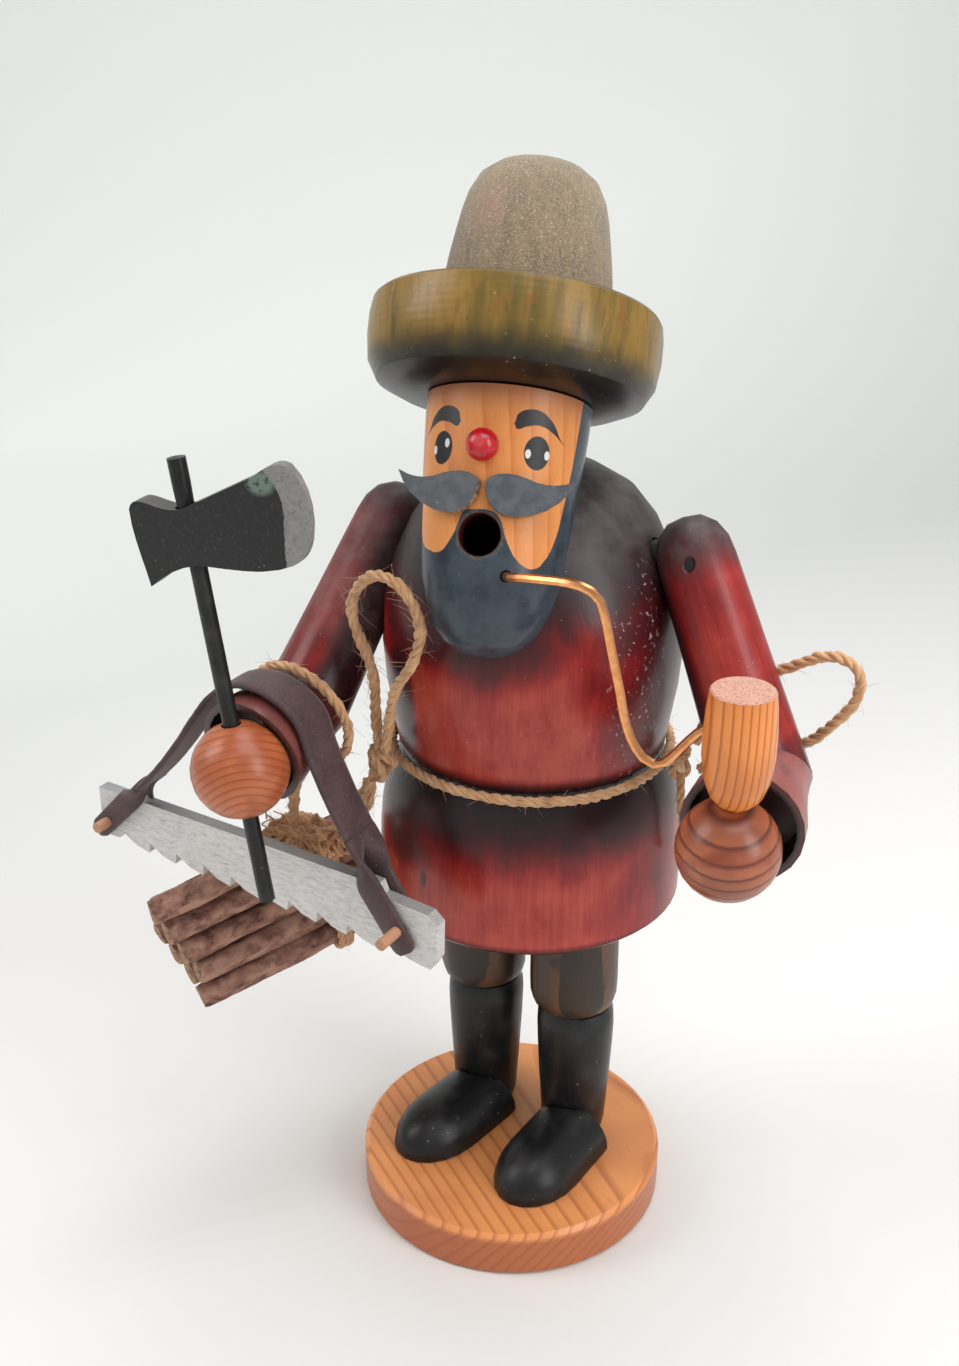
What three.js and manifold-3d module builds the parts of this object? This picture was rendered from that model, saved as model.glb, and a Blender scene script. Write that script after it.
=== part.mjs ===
// Carved wooden incense smoker: a woodcutter with an axe, a saw on a leather strap and a bundle of
// sticks.  Millimetres, +Z up, the figure faces -Y, its left hand is on +X, the base stands on z = 0.
import * as THREE from "three";
import { mergeVertices } from "three/addons/utils/BufferGeometryUtils.js";
import Module from "manifold-3d";

const wasm = await Module();
wasm.setup();

// ---- driving dimensions -------------------------------------------------------------------------
const GAP = 0.3; // glue gap between neighbouring pieces
const BASE_R = 35.2, BASE_T = 10.9;
const BASE_AT = [0.77, 0.46]; // the base's centre in the coordinates below; the origin moves there at the end
const AXIS = [-1.4, 11.6]; // the turning axis of the body on the base
const LEG_X = 12.1; // each leg from the body's axis
const BOOT_TOP = 45.8, SKIRT_BOTTOM = 76.2, WAIST_Z = 111;
const SPIGOT_R = 20, SPIGOT_TOP = 117, CAVITY_R = 20.5;
const UPPER_TURN = 9; // degrees the upper body is turned to its left on the spigot
const SHOULDER_FLAT = 27.2; // flats for the arms, from the body's axis
const HEAD_TURN = 17, HEAD_LEAN = 27.5; // degrees
const HEAD_TOP = new THREE.Vector3(-1.8, 1.3, 187.8); // where head and hat meet
const MOUTH_R = 4.05, MOUTH_H = -28.1, NOSE_H = -11.9;
const BRIM_SHIFT = -0.3, CROWN_SHIFT = 1.1; // the turned hat sits a little askew on the head
const BALL_R = 10, WRIST = 6; // the hand ball's centre stands WRIST in front of the cuff's mouth
const CUFF_R = 11.9, CUFF_BORE = 10.4, CUFF_DEPTH = 7, ELBOW_R = 9.3, ARM_TOP_R = 8;
const TWINE_R = 1.15;
const WIRE_R = 0.9;
const HANDLE_R = 1.72;
const SAW_Y = -36.7, SAW_T = 3, STRAP_W = 10, STRAP_T = 1.4;
const STICK_LENGTH = 51;

// ---- helpers ------------------------------------------------------------------------------------
const V = (x, y, z) => new THREE.Vector3(x, y, z);
const UP = V(0, 0, 1);
const rad = THREE.MathUtils.degToRad;

function solid(geometry) {
  const bare = new THREE.BufferGeometry();
  const source = geometry.index ? geometry.toNonIndexed() : geometry;
  bare.setAttribute("position", source.getAttribute("position"));
  const merged = mergeVertices(bare, 1e-4);
  const triVerts = new Uint32Array(merged.index.array);
  const make = () =>
    new wasm.Manifold(
      new wasm.Mesh({ numProp: 3, vertProperties: merged.attributes.position.array, triVerts }),
    );
  let made = make();
  if (made.volume() < 0) {
    for (let i = 0; i < triVerts.length; i += 3)
      [triVerts[i + 1], triVerts[i + 2]] = [triVerts[i + 2], triVerts[i + 1]];
    made = make();
  }
  return made;
}

function stand(geometry, at, direction = UP) {
  const turn = new THREE.Quaternion().setFromUnitVectors(UP, direction.clone().normalize());
  geometry.applyQuaternion(turn);
  geometry.translate(at.x, at.y, at.z);
  return solid(geometry);
}

// A turned piece: [radius, height] pairs along the axis from `at`.
function turned(profile, at, direction = UP, segments = 24) {
  const points = profile.map(([r, h]) => new THREE.Vector2(r, h));
  const lathe = new THREE.LatheGeometry(points, segments);
  lathe.rotateX(Math.PI / 2);
  return stand(lathe, at, direction);
}

const rod = (from, to, radius, segments = 16) =>
  turned([[0, 0], [radius, 0], [radius, from.distanceTo(to)], [0, from.distanceTo(to)]],
    from, to.clone().sub(from), segments);

function ball(at, radius, across = 24, down = 14) {
  const sphere = new THREE.SphereGeometry(radius, across, down);
  sphere.rotateX(Math.PI / 2);
  sphere.translate(at.x, at.y, at.z);
  return solid(sphere);
}

// A round section drawn along a smooth curve through the points.
function tube(points, radius, steps, sides = 8) {
  const section = new THREE.Shape(
    Array.from({ length: sides }, (_, i) => {
      const a = (i * 2 * Math.PI) / sides;
      return new THREE.Vector2(radius * Math.cos(a), radius * Math.sin(a));
    }),
  );
  const route = new THREE.CatmullRomCurve3(points.map((p) => V(...p)), false, "centripetal");
  return solid(new THREE.ExtrudeGeometry(section, { steps, extrudePath: route, bevelEnabled: false }));
}

// A flat plate: an outline of [x, z] pairs with its thickness along Y.
function plate(outline, y, thickness) {
  const shape = new THREE.Shape(outline.map(([x, z]) => new THREE.Vector2(x, z)));
  const flat = new THREE.ExtrudeGeometry(shape, { depth: thickness, bevelEnabled: false });
  flat.rotateX(Math.PI / 2);
  flat.translate(0, y + thickness / 2, 0);
  return solid(flat);
}

// Everything on the far side of a plane, as a big block to cut with.
function half(point, normal) {
  const block = new THREE.BoxGeometry(160, 160, 160);
  block.translate(0, 0, 80);
  return stand(block, point, normal);
}

const figure = new THREE.Group();
function add(name, shape, color, roughness = 0.45, metalness = 0) {
  const mesh = shape.getMesh();
  const geometry = new THREE.BufferGeometry();
  geometry.setAttribute("position", new THREE.BufferAttribute(new Float32Array(mesh.vertProperties), 3));
  geometry.setIndex(new THREE.BufferAttribute(new Uint32Array(mesh.triVerts), 1));
  geometry.computeVertexNormals();
  const piece = new THREE.Mesh(
    geometry, new THREE.MeshStandardMaterial({ color, roughness, metalness }));
  piece.name = name;
  piece.position.set(-BASE_AT[0], -BASE_AT[1], 0);
  figure.add(piece);
}

const PINE = 0xd98b4b, BLACK = 0x17181a, OLIVE = 0x4a4030, RED = 0x6e1f22, FACE = 0xd99a63;
const GREEN = 0x6d6a35, CROWN = 0x6b5f4c, SLATE = 0x4a525c, LEATHER = 0x4a3335, BARK = 0x5a3d33;
const TWINE = 0xb58a58, COPPER = 0xd07b4c, SILVER = 0xa9acad, TIN = 0xb9bcc0, CHERRY = 0xb01f2c;

// ---- base, shoes and legs -----------------------------------------------------------------------
const body = V(AXIS[0], AXIS[1], 0);
let base = turned(
  [[0, 0], [BASE_R - 0.8, 0], [BASE_R, 0.8], [BASE_R, BASE_T - 1], [BASE_R - 1, BASE_T], [0, BASE_T]],
  V(...BASE_AT, 0), UP, 44);
const sides = { right: -1, left: 1 };
const toes = { right: 9, left: 3 }; // degrees each shoe turns to the figure's right
const bootShift = { right: [0.55, 0.3], left: [0.6, 0.35] };
const shoeShift = { right: [-0.3, -19.4], left: [2.6, -19.9] }; // the middle of each round toe cap
for (const [side, s] of Object.entries(sides)) {
  const leg = V(AXIS[0] + s * LEG_X, AXIS[1], 0);
  const foot = leg.clone().add(V(...bootShift[side], 0));
  base = base.subtract(rod(foot.clone().setZ(BASE_T - 6), foot.clone().setZ(BASE_T + 1), 4.1 + GAP, 14));
  const boot = turned(
    [[0, BASE_T - 5.7], [4, BASE_T - 5.7], [4, BASE_T + GAP], [7.2, BASE_T + GAP], [7.6, 13.5],
      [8, 20], [8.5, 28], [8.9, 36], [9.05, 41], [8.9, 43.8], [8.1, BOOT_TOP - 0.1],
      [3.6, BOOT_TOP], [3.6, 51], [0, 51]],
    foot, UP, 20);
  add("boot_" + side, boot, BLACK, 0.35);
  add("trouser_" + side, turned(
    [[0, BOOT_TOP + GAP], [8.4, BOOT_TOP + GAP + 0.1], [9.5, 47.2],
      [10.1, 49.6], [10.25, 53.5], [10.2, 62], [10.1, SKIRT_BOTTOM - GAP], [7, SKIRT_BOTTOM - GAP],
      [7, 83], [0, 83]],
    leg, UP, 20).subtract(rod(foot.clone().setZ(45), foot.clone().setZ(51.4), 3.7 + GAP, 14)), OLIVE, 0.5);
  const cap = (back) => {
    const g = new THREE.SphereGeometry(1, 20, 12);
    g.rotateX(Math.PI / 2);
    g.scale(9.6, 13.4, 9.3);
    g.translate(0, back, 0);
    g.rotateZ(-rad(toes[side]));
    g.translate(leg.x + shoeShift[side][0], leg.y + shoeShift[side][1], BASE_T + GAP);
    return solid(g);
  };
  add("shoe_" + side, wasm.Manifold.hull([cap(0), cap(14)])
    .subtract(half(V(0, 0, BASE_T + GAP), V(0, 0, -1)))
    .subtract(half(V(foot.x, foot.y - 6.2, 0), V(-Math.sin(rad(toes[side])), Math.cos(rad(toes[side])), 0)))
    .subtract(turned([[0, 10], [7.5 + GAP, 10], [7.9 + GAP, 15], [8.8 + GAP, 26], [0, 26]], foot)),
  BLACK, 0.3);
}
add("base_disc", base, PINE, 0.45);

// ---- lower body with its spigot and the incense plate -------------------------------------------
let skirt = turned(
  [[0, SKIRT_BOTTOM], [33, SKIRT_BOTTOM], [33.8, 77], [33.9, 84], [33.7, 91], [33.2, 97], [32.4, 102],
    [31.2, 105.8], [29.9, 108.6], [29.1, 110], [28.6, WAIST_Z - 0.1], [SPIGOT_R, WAIST_Z - 0.1],
    [SPIGOT_R, SPIGOT_TOP], [0, SPIGOT_TOP]],
  body, UP, 56);
for (const s of Object.values(sides)) {
  const leg = V(AXIS[0] + s * LEG_X, AXIS[1], 70);
  skirt = skirt.subtract(rod(leg, leg.clone().setZ(83.3), 7.1 + GAP, 20));
}
skirt = skirt.subtract(rod(body.clone().setZ(70), body.clone().setZ(130), 4, 14));
add("lower_body", skirt, RED, 0.3);
let tray = turned(
  [[0, SPIGOT_TOP + GAP], [14, SPIGOT_TOP + GAP], [15, SPIGOT_TOP + 1.6], [14.4, SPIGOT_TOP + 1.6],
    [13.6, SPIGOT_TOP + 0.9], [0, SPIGOT_TOP + 0.9]], body, UP, 24);
for (let i = 0; i < 3; i++) {
  const a = (i * 2 * Math.PI) / 3;
  const vent = body.clone().add(V(2.1 * Math.cos(a), 2.1 * Math.sin(a), SPIGOT_TOP - 1));
  tray = tray.subtract(rod(vent, vent.clone().add(V(0, 0, 4)), 1.2, 12));
}
add("incense_plate", tray, TIN, 0.4, 0.8);

// ---- head frame: `tall` runs up the leaning head, `front` out of the face -----------------------
const facing = V(Math.sin(rad(HEAD_TURN)), -Math.cos(rad(HEAD_TURN)), 0);
const lean = rad(HEAD_LEAN);
const tall = UP.clone().multiplyScalar(Math.cos(lean)).addScaledVector(facing, -Math.sin(lean));
const front = facing.clone().multiplyScalar(Math.cos(lean)).addScaledVector(UP, Math.sin(lean));
const aside = V(Math.cos(rad(HEAD_TURN)), Math.sin(rad(HEAD_TURN)), 0);
const onHead = (out, across, height) =>
  HEAD_TOP.clone().addScaledVector(front, out).addScaledVector(aside, across).addScaledVector(tall, height);
const smokeHole = rod(onHead(20, 0, MOUTH_H), onHead(-16, 0, MOUTH_H), MOUTH_R, 16);

// ---- upper body ---------------------------------------------------------------------------------
const torsoProfile = (grow) => [
  [0, WAIST_Z + 0.2 - grow], [28.6 + grow, WAIST_Z + 0.2 - grow], [29.2 + grow, 112.6],
  [30.2 + grow, 119], [31.5 + grow, 127], [32.2 + grow, 136], [31.6 + grow, 145.5],
  [29.4 + grow, 154], [25.6 + grow, 162.2], [21 + grow, 168],
  [14 + grow, 172.3 + grow], [6, 174.4 + grow], [0, 174.6 + grow]];
const turn = rad(UPPER_TURN);
const out = (s) => V(s * Math.cos(turn), s * Math.sin(turn), 0);
const shoulders = {
  right: V(-34.9, 8.2, 156.4), left: V(33.4, 15, 158.2),
};
let torso = turned(torsoProfile(0), body, UP, 60)
  .subtract(turned([[0, 100], [CAVITY_R, 100], [CAVITY_R, 147], [17, 154.5], [0, 162]], body, UP, 20));
torso = torso.subtract(smokeHole);
const arms = {
  right: { elbow: V(-37.7, -21.1, 124.9), aim: V(0, -0.978, -0.208), hand: V(-35.7, -46.7, 120.1), reach: 20 },
  left: { elbow: V(54.4, 5.7, 119), aim: V(0.1735, -0.984, -0.035), hand: V(57.9, -21, 116.6), reach: 21 },
};
// The upper arm before its mitre; `grow` makes the shallow seat it is glued into.
function armBlank(side, s, grow) {
  const top = shoulders[side];
  const down = arms[side].elbow.clone().sub(top).normalize();
  const long = top.distanceTo(arms[side].elbow);
  return turned(
    [[0, -8.6 - grow], [3.6, -8 - grow], [6.2 + grow, -5.8], [7.6 + grow, -2.6], [ARM_TOP_R + grow, 1],
      [8.2 + grow, 8], [8.5 + grow, 20], [8.9 + grow, 32], [ELBOW_R + grow, long],
      [ELBOW_R + grow, long + 14], [0, long + 14]],
    top, down, 20)
    .subtract(half(body.clone().addScaledVector(out(s), SHOULDER_FLAT + GAP - grow), out(-s)));
}
const shoulderDowels = {};
for (const [side, s] of Object.entries(sides)) {
  const at = shoulders[side];
  const across = at.clone().sub(body).dot(out(1)) ;
  const seat = at.clone().addScaledVector(out(1), s * SHOULDER_FLAT - across);
  shoulderDowels[side] = [seat.clone().addScaledVector(out(s), -5.4), seat.clone().addScaledVector(out(s), 5.6)];
  torso = torso.subtract(rod(seat.clone().addScaledVector(out(s), -5.8), seat.clone().addScaledVector(out(s), 2), 2.9 + GAP, 12));
  torso = torso.subtract(armBlank(side, s, GAP));
}
add("upper_body", torso, RED, 0.3);

// ---- head, nose, moustache ----------------------------------------------------------------------
let head = turned(
  [[0, -50], [4.2, -49.5], [7.8, -47.6], [10.6, -44.4], [12.5, -40.4], [13.8, -35.4], [14.4, -29],
    [14.9, -21], [15.6, -12.5], [16.1, -4], [16.25, 0], [0, 0]],
  HEAD_TOP, tall, 44);
head = head.subtract(turned(torsoProfile(GAP), body, UP, 40)).subtract(smokeHole);
head = head.subtract(rod(onHead(0, 0, -8), onHead(0, 0, 1), 4.2 + GAP, 12));
head = head.subtract(rod(onHead(11.4, -0.5, NOSE_H), onHead(20, -0.5, NOSE_H), 1.3 + GAP, 12));

const nose = ball(onHead(17.7, -0.5, NOSE_H), 3.15, 16, 10)
  .add(rod(onHead(11.8, -0.5, NOSE_H), onHead(17, -0.5, NOSE_H), 1.3, 12))
  .subtract(turned([[0, -51], [14.8 + GAP, -30], [15.7 + GAP, -12.5], [16.6, 0], [0, 0]], HEAD_TOP, tall, 40)
    .subtract(rod(onHead(11, -0.5, NOSE_H), onHead(30, -0.5, NOSE_H), 1.3, 12)));
add("nose", nose, CHERRY, 0.25);

// A leaf of the moustache, drawn flat: [across, height] from the middle of the lip to the tip.
const leaf = new THREE.Shape();
leaf.moveTo(0.4, -18.4);
leaf.bezierCurveTo(1.4, -16.6, 5, -16.2, 8, -17.2);
leaf.bezierCurveTo(11, -18.4, 14, -18.4, 17.4, -16.6);
leaf.bezierCurveTo(15.6, -20.6, 11.6, -24.2, 6.2, -24.6);
leaf.bezierCurveTo(2.4, -24.6, 0.4, -22, 0.4, -18.4);
for (const [side, s] of Object.entries(sides)) {
  const flat = new THREE.ExtrudeGeometry(leaf, { depth: 1.5, bevelEnabled: false, curveSegments: 5 });
  flat.rotateY(rad(13)); // the tips bend back round the cheeks
  if (s < 0) flat.scale(-1, 1, 1);
  flat.applyMatrix4(new THREE.Matrix4().makeBasis(aside, tall, front));
  const at = HEAD_TOP.clone().addScaledVector(front, 15.6);
  flat.translate(at.x, at.y, at.z);
  add("moustache_" + side, solid(flat).subtract(
    turned([[0, -52], [14.4 + GAP, -30], [14.9 + GAP, -21.5], [15.6 + GAP, -12.5], [16.2 + GAP, 0], [0, 0]],
      HEAD_TOP, tall, 40)), SLATE, 0.45);
}

// ---- hat ----------------------------------------------------------------------------------------
const brimFoot = HEAD_TOP.clone().addScaledVector(aside, BRIM_SHIFT);
const crownFoot = HEAD_TOP.clone().addScaledVector(aside, CROWN_SHIFT);
const hatPin = rod(onHead(0, 0, -7.6), onHead(0, 0, 15), 4, 12);
const hatBore = rod(onHead(0, 0, -9), onHead(0, 0, 15.4), 4.2 + GAP, 12);
add("hat_brim", turned(
  [[0, GAP], [16.8, GAP], [22.6, 0.6], [26.4, 2.3], [28.3, 5.6], [28.9, 10.2], [28.9, 14.4], [28.5, 17.2],
    [27.8, 17.9], [26.8, 17.2], [26.4, 13.6], [24.8, 10.2], [21.8, 7.4], [18.6, 6.5], [0, 6.5]],
  brimFoot, tall, 60)
  .subtract(hatBore)
  .subtract(half(brimFoot.clone().addScaledVector(aside, 28.1), aside.clone().addScaledVector(front, 0.12))),
GREEN, 0.4);
add("hat_crown", turned(
  [[0, 6.8], [17.2, 6.8], [17, 20], [16.1, 28], [15.3, 33], [14.6, 37], [13.7, 40.6], [12, 44],
    [9.2, 46.3], [5, 47.6], [0, 48]],
  crownFoot, tall, 48).subtract(hatBore), CROWN, 0.8);
add("hat_dowel", hatPin, PINE, 0.6);

// ---- arms and hands -----------------------------------------------------------------------------
const hands = {};
for (const [side, s] of Object.entries(sides)) {
  const { elbow, hand, reach } = arms[side];
  const aim = arms[side].aim.clone().normalize();
  const down = elbow.clone().sub(shoulders[side]).normalize();
  const mitre = down.clone().add(aim).normalize();
  const dowel = rod(...shoulderDowels[side], 2.8, 12);
  const dowelBore = rod(shoulderDowels[side][0], shoulderDowels[side][1].clone().addScaledVector(out(s), 0.4), 2.9 + GAP, 12);
  add("upper_arm_" + side, armBlank(side, s, 0)
    .subtract(half(elbow.clone().addScaledVector(mitre, -GAP / 2), mitre))
    .subtract(dowelBore), RED, 0.35);
  add("shoulder_dowel_" + side, dowel, PINE, 0.6);
  const mouth = elbow.clone().addScaledVector(aim, reach);
  const floor = mouth.clone().addScaledVector(aim, -CUFF_DEPTH);
  const wrist = [floor.clone().addScaledVector(aim, -4), mouth.clone().addScaledVector(aim, -2)];
  const toBall = hand.clone().sub(wrist[0]);
  const peg = rod(wrist[0], wrist[0].clone().addScaledVector(toBall, 1 - 3 / toBall.length()), 2.5, 12);
  const pegBore = rod(
    wrist[0].clone().addScaledVector(toBall, -0.4 / toBall.length()),
    wrist[0].clone().addScaledVector(toBall, 1 - 2.6 / toBall.length()), 2.6 + GAP, 12);
  add("forearm_" + side, turned(
    [[0, -14], [ELBOW_R, -14], [ELBOW_R, 0], [9.7, 5], [10.6, 11], [11.6, 16], [CUFF_R, reach],
      [CUFF_BORE, reach], [CUFF_BORE - 0.7, reach - CUFF_DEPTH], [0, reach - CUFF_DEPTH]],
    elbow, aim, 22)
    .subtract(half(elbow.clone().addScaledVector(mitre, GAP / 2), mitre.clone().negate()))
    .subtract(pegBore), RED, 0.4);
  add("wrist_dowel_" + side, peg, PINE, 0.6);
  hands[side] = ball(hand, BALL_R, 26, 15).subtract(pegBore);
}

// ---- pipe in the left hand ----------------------------------------------------------------------
const PIPE_FOOT = 10, PIPE_TALL = 22.9;
const grip = arms.left.hand;
const pipeFoot = grip.clone().add(V(0.9, -0.7, PIPE_FOOT));
const stem = [
  [9.6, -20.4, 161.4], [13.1, -25.1, 163], [16.8, -26.3, 163.9], [20.5, -27.2, 164.6], [27, -28, 165.4],
  [30.6, -28, 165], [32.9, -27.8, 163.6], [34, -27.2, 159.8], [35.1, -26.4, 153.5], [36.6, -25.4, 145.4],
  [37.5, -25, 140.4], [39.1, -24.4, 135.5], [41.3, -23.8, 132.3], [43.8, -23.2, 131.4], [45.9, -22.8, 132.8],
  [48.6, -22.4, 136.4], [51.5, -22, 139.8], [54.6, -21.8, 142]];
const wire = tube(stem, WIRE_R, 34);
const wireEnds = tube(stem, WIRE_R + GAP, 34).add(ball(V(...stem[0]), WIRE_R + GAP, 10, 6))
  .add(ball(V(...stem[17]), WIRE_R + GAP, 10, 6));
add("pipe_stem", wire, COPPER, 0.3, 0.9);
add("pipe_bowl", turned(
  [[0, -5.1], [2, -5.1], [2, 0], [3.3, 0.2], [4.9, 1.9], [6.1, 5.2], [6.7, 9.8], [6.7, 14.6], [6.4, 19.2],
    [6, PIPE_TALL - 0.3], [5.7, PIPE_TALL], [0, PIPE_TALL]],
  pipeFoot, UP, 22)
  .subtract(ball(grip, BALL_R + GAP, 20, 12).subtract(rod(pipeFoot.clone().add(V(0, 0, -9)), pipeFoot.clone().add(V(0, 0, 3)), 2)))
  .subtract(wireEnds), PINE, 0.45);
add("hand_left", hands.left.subtract(
  rod(pipeFoot.clone().add(V(0, 0, -5.5)), pipeFoot.clone().add(V(0, 0, 4)), 2 + GAP)), PINE, 0.45);
add("head", head.subtract(wireEnds), FACE, 0.35);

// ---- axe in the right hand ----------------------------------------------------------------------
const fist = arms.right.hand;
const shaft = V(-0.142, -0.02, 0.99).normalize();
const onShaft = (t) => fist.clone().addScaledVector(shaft, t);
add("axe_handle", turned(
  [[0, -29.5], [HANDLE_R, -29.5], [HANDLE_R, 55], [1.85, 59], [1.85, 63.6], [0, 63.9]],
  fist, shaft, 12), BLACK, 0.4);
add("hand_right", hands.right.subtract(
  rod(onShaft(-14), onShaft(14), HANDLE_R + GAP + 0.05, 12)), PINE, 0.45);
const axe = new THREE.Shape();
axe.moveTo(-11.6, 2.6);
axe.bezierCurveTo(-11.2, 4.6, -9.6, 4.6, -7.6, 4.2);
axe.bezierCurveTo(-4.4, 3.4, -2.4, 3, 0.4, 4.2);
axe.lineTo(15.2, 11.8);
axe.bezierCurveTo(17.2, 13.4, 19, 14.8, 21.4, 14);
axe.bezierCurveTo(25.2, 11.4, 26.6, 5.6, 25.6, 0.4);
axe.bezierCurveTo(25, -2.2, 23.8, -3.8, 22, -4.8);
axe.bezierCurveTo(18, -6.8, 11, -6.8, 4, -6.8);
axe.bezierCurveTo(0, -6.8, -4, -8.8, -8.2, -12.4);
axe.bezierCurveTo(-9.4, -7.4, -11.4, -2.4, -11.6, 2.6);
const axeFlat = new THREE.ExtrudeGeometry(axe, { depth: 4.6, bevelEnabled: false, curveSegments: 5 });
const acrossAxe = V(0.985, 0.17, 0).normalize();
const faceAxe = acrossAxe.clone().cross(UP).normalize();
axeFlat.translate(0, 0, -2.3);
axeFlat.applyMatrix4(new THREE.Matrix4().makeBasis(acrossAxe, UP, faceAxe));
const axeEye = onShaft(50.4);
axeFlat.translate(axeEye.x, axeEye.y, axeEye.z);
const bevel = (s) => half(
  axeEye.clone().addScaledVector(acrossAxe, 26.2).addScaledVector(faceAxe, s * 0.5),
  faceAxe.clone().multiplyScalar(s).addScaledVector(acrossAxe, 0.16));
add("axe_head", solid(axeFlat)
  .subtract(rod(onShaft(30), onShaft(70), 1.85 + GAP, 16))
  .subtract(bevel(1)).subtract(bevel(-1)), BLACK, 0.35);

// ---- saw on its leather strap, hung over the right forearm --------------------------------------
const SAW_TOP = [[-84.2, 99.2], [-9.4, 97]];
const teeth = [];
const TEETH = 9;
for (let i = 0; i < TEETH; i++) {
  const at = (k) => [-78 + 7.6 * (i + k), 89.4 - 0.55 * (i + k)];
  const [x0, z0] = at(0), [x1, z1] = at(0.45), [x2, z2] = at(0.93);
  teeth.push([x0, z0], [x1, z1 - 2], [x2, z2 - 2.7]);
}
const sawOutline = [
  ...SAW_TOP, [-8.4, 94.6], [2.6, 93.6], [4.8, 91.6], [4.6, 83.6], [3, 80.8], [-1.6, 81.6], [-8.6, 83.6],
  ...teeth.reverse(), [-79.4, 87.6], [-84, 87.6]];
const pegs = { inner: V(-3.9, SAW_Y, 88.6), outer: V(-81, SAW_Y, 92) };
let saw = plate(sawOutline, SAW_Y, SAW_T);
for (const p of Object.values(pegs))
  saw = saw.subtract(rod(p.clone().add(V(0, -9, 0)), p.clone().add(V(0, 9, 0)), 1.2 + GAP, 14));
add("saw_blade", saw, SILVER, 0.45, 0.3);

// The band runs over the forearm and down to both ends of the blade, where its slit ends lie on the
// blade's two faces and a peg goes through all three.
const TAB_OUT = SAW_T / 2 + GAP + STRAP_T / 2;
const band = new THREE.CatmullRomCurve3(
  [V(-83, 0, 90.5), V(-77.1, 0, 96.3), V(-70.5, 0, 102.8), V(-63.4, 0, 110.2), V(-56.6, 0, 118.8),
    V(-51.8, 0, 125.6), V(-47.6, 0, 130.8), V(-42.8, 0, 134), V(-37.4, 0, 134.8), V(-31.4, 0, 133),
    V(-26.7, 0, 129), V(-24.2, 0, 121.4), V(-20.2, 0, 112), V(-14.8, 0, 101.9), V(-8.6, 0, 90)],
  false, "centripetal");
const spine = band.getPoints(26);
const ribbon = [];
for (const side of [1, -1]) {
  const row = spine.map((p, i) => {
    const t = band.getTangent(i / 26);
    return [p.x + (side * t.z * STRAP_T) / 2, p.z - (side * t.x * STRAP_T) / 2];
  });
  ribbon.push(...(side > 0 ? row : row.reverse()));
}
const legSide = (x0, z0, x1, z1, w) => {
  const dx = x1 - x0, dz = z1 - z0, l = Math.hypot(dx, dz), nx = (-dz / l) * w, nz = (dx / l) * w;
  return [[x0 + nx, z0 + nz], [x1 + nx * 0.8, z1 + nz * 0.8], [x1 - nx * 0.8, z1 - nz * 0.8], [x0 - nx, z0 - nz]];
};
const tab = (y, x0, z0, x1, z1, w) => plate(legSide(x0, z0, x1, z1, w), SAW_Y + y, STRAP_T);
const tabs = tab(-TAB_OUT, -14.4, 105, -1.8, 83.8, 3.2).add(tab(TAB_OUT, -14.4, 105, -2.6, 85.2, 3.2))
  .add(tab(-TAB_OUT, -69.4, 104.6, -84.6, 88.6, 2.7)).add(tab(TAB_OUT, -69.4, 104.6, -83.8, 89.4, 2.7));
let strap = plate(ribbon, SAW_Y, STRAP_W)
  .subtract(half(V(-50, SAW_Y + STRAP_W / 2, 0), V(-0.083, 1, 0)))
  .subtract(half(V(-50, SAW_Y - STRAP_W / 2, 0), V(-0.083, -1, 0)))
  .subtract(half(V(-40, SAW_Y, 100.6), UP.clone().negate())).add(tabs);
for (const p of Object.values(pegs))
  strap = strap.subtract(rod(p.clone().add(V(0, -9, 0)), p.clone().add(V(0, 9, 0)), 1.2 + GAP, 14));
add("saw_strap", strap, LEATHER, 0.75);
for (const [name, p] of Object.entries(pegs))
  add("strap_peg_" + name, rod(p.clone().add(V(0, name === "inner" ? -9 : -6.6, 0)), p.clone().add(V(0, 5.6, 0)), 1.2, 12), PINE, 0.6);

// ---- bundle of sticks under the forearm ---------------------------------------------------------
const along = V(0.45, 0.87, 0.17).normalize();
const flatways = V(0.87, -0.45, 0).normalize();
const upwards = flatways.clone().cross(along).normalize();
const bundle = V(-53.1, -17.3, 68.1);
const rows = [];
for (let i = 0; i < 9; i++) rows.push(i % 2 ? [-2.9, -10.2 + 3.4 * (i - 1)] : [2.9, -13.6 + 3.4 * i]);
let sticksGrown = null;
rows.forEach(([across, up], i) => {
  const shift = 0.6 * (((i * 7) % 5) - 2) - 0.21 * up; // the ends are uneven
  const start = bundle.clone().addScaledVector(flatways, across).addScaledVector(upwards, up)
    .addScaledVector(along, -STICK_LENGTH / 2 + shift);
  const thick = 2.95 + 0.04 * ((i * 3) % 4);
  const end = start.clone().addScaledVector(along, STICK_LENGTH - 2);
  add("firewood_stick_" + (i + 1), rod(start, end, thick, 10), BARK, 0.85);
  const grown = rod(start, end, thick + 2 * GAP, 10);
  sticksGrown = sticksGrown ? sticksGrown.add(grown) : grown;
});

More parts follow.
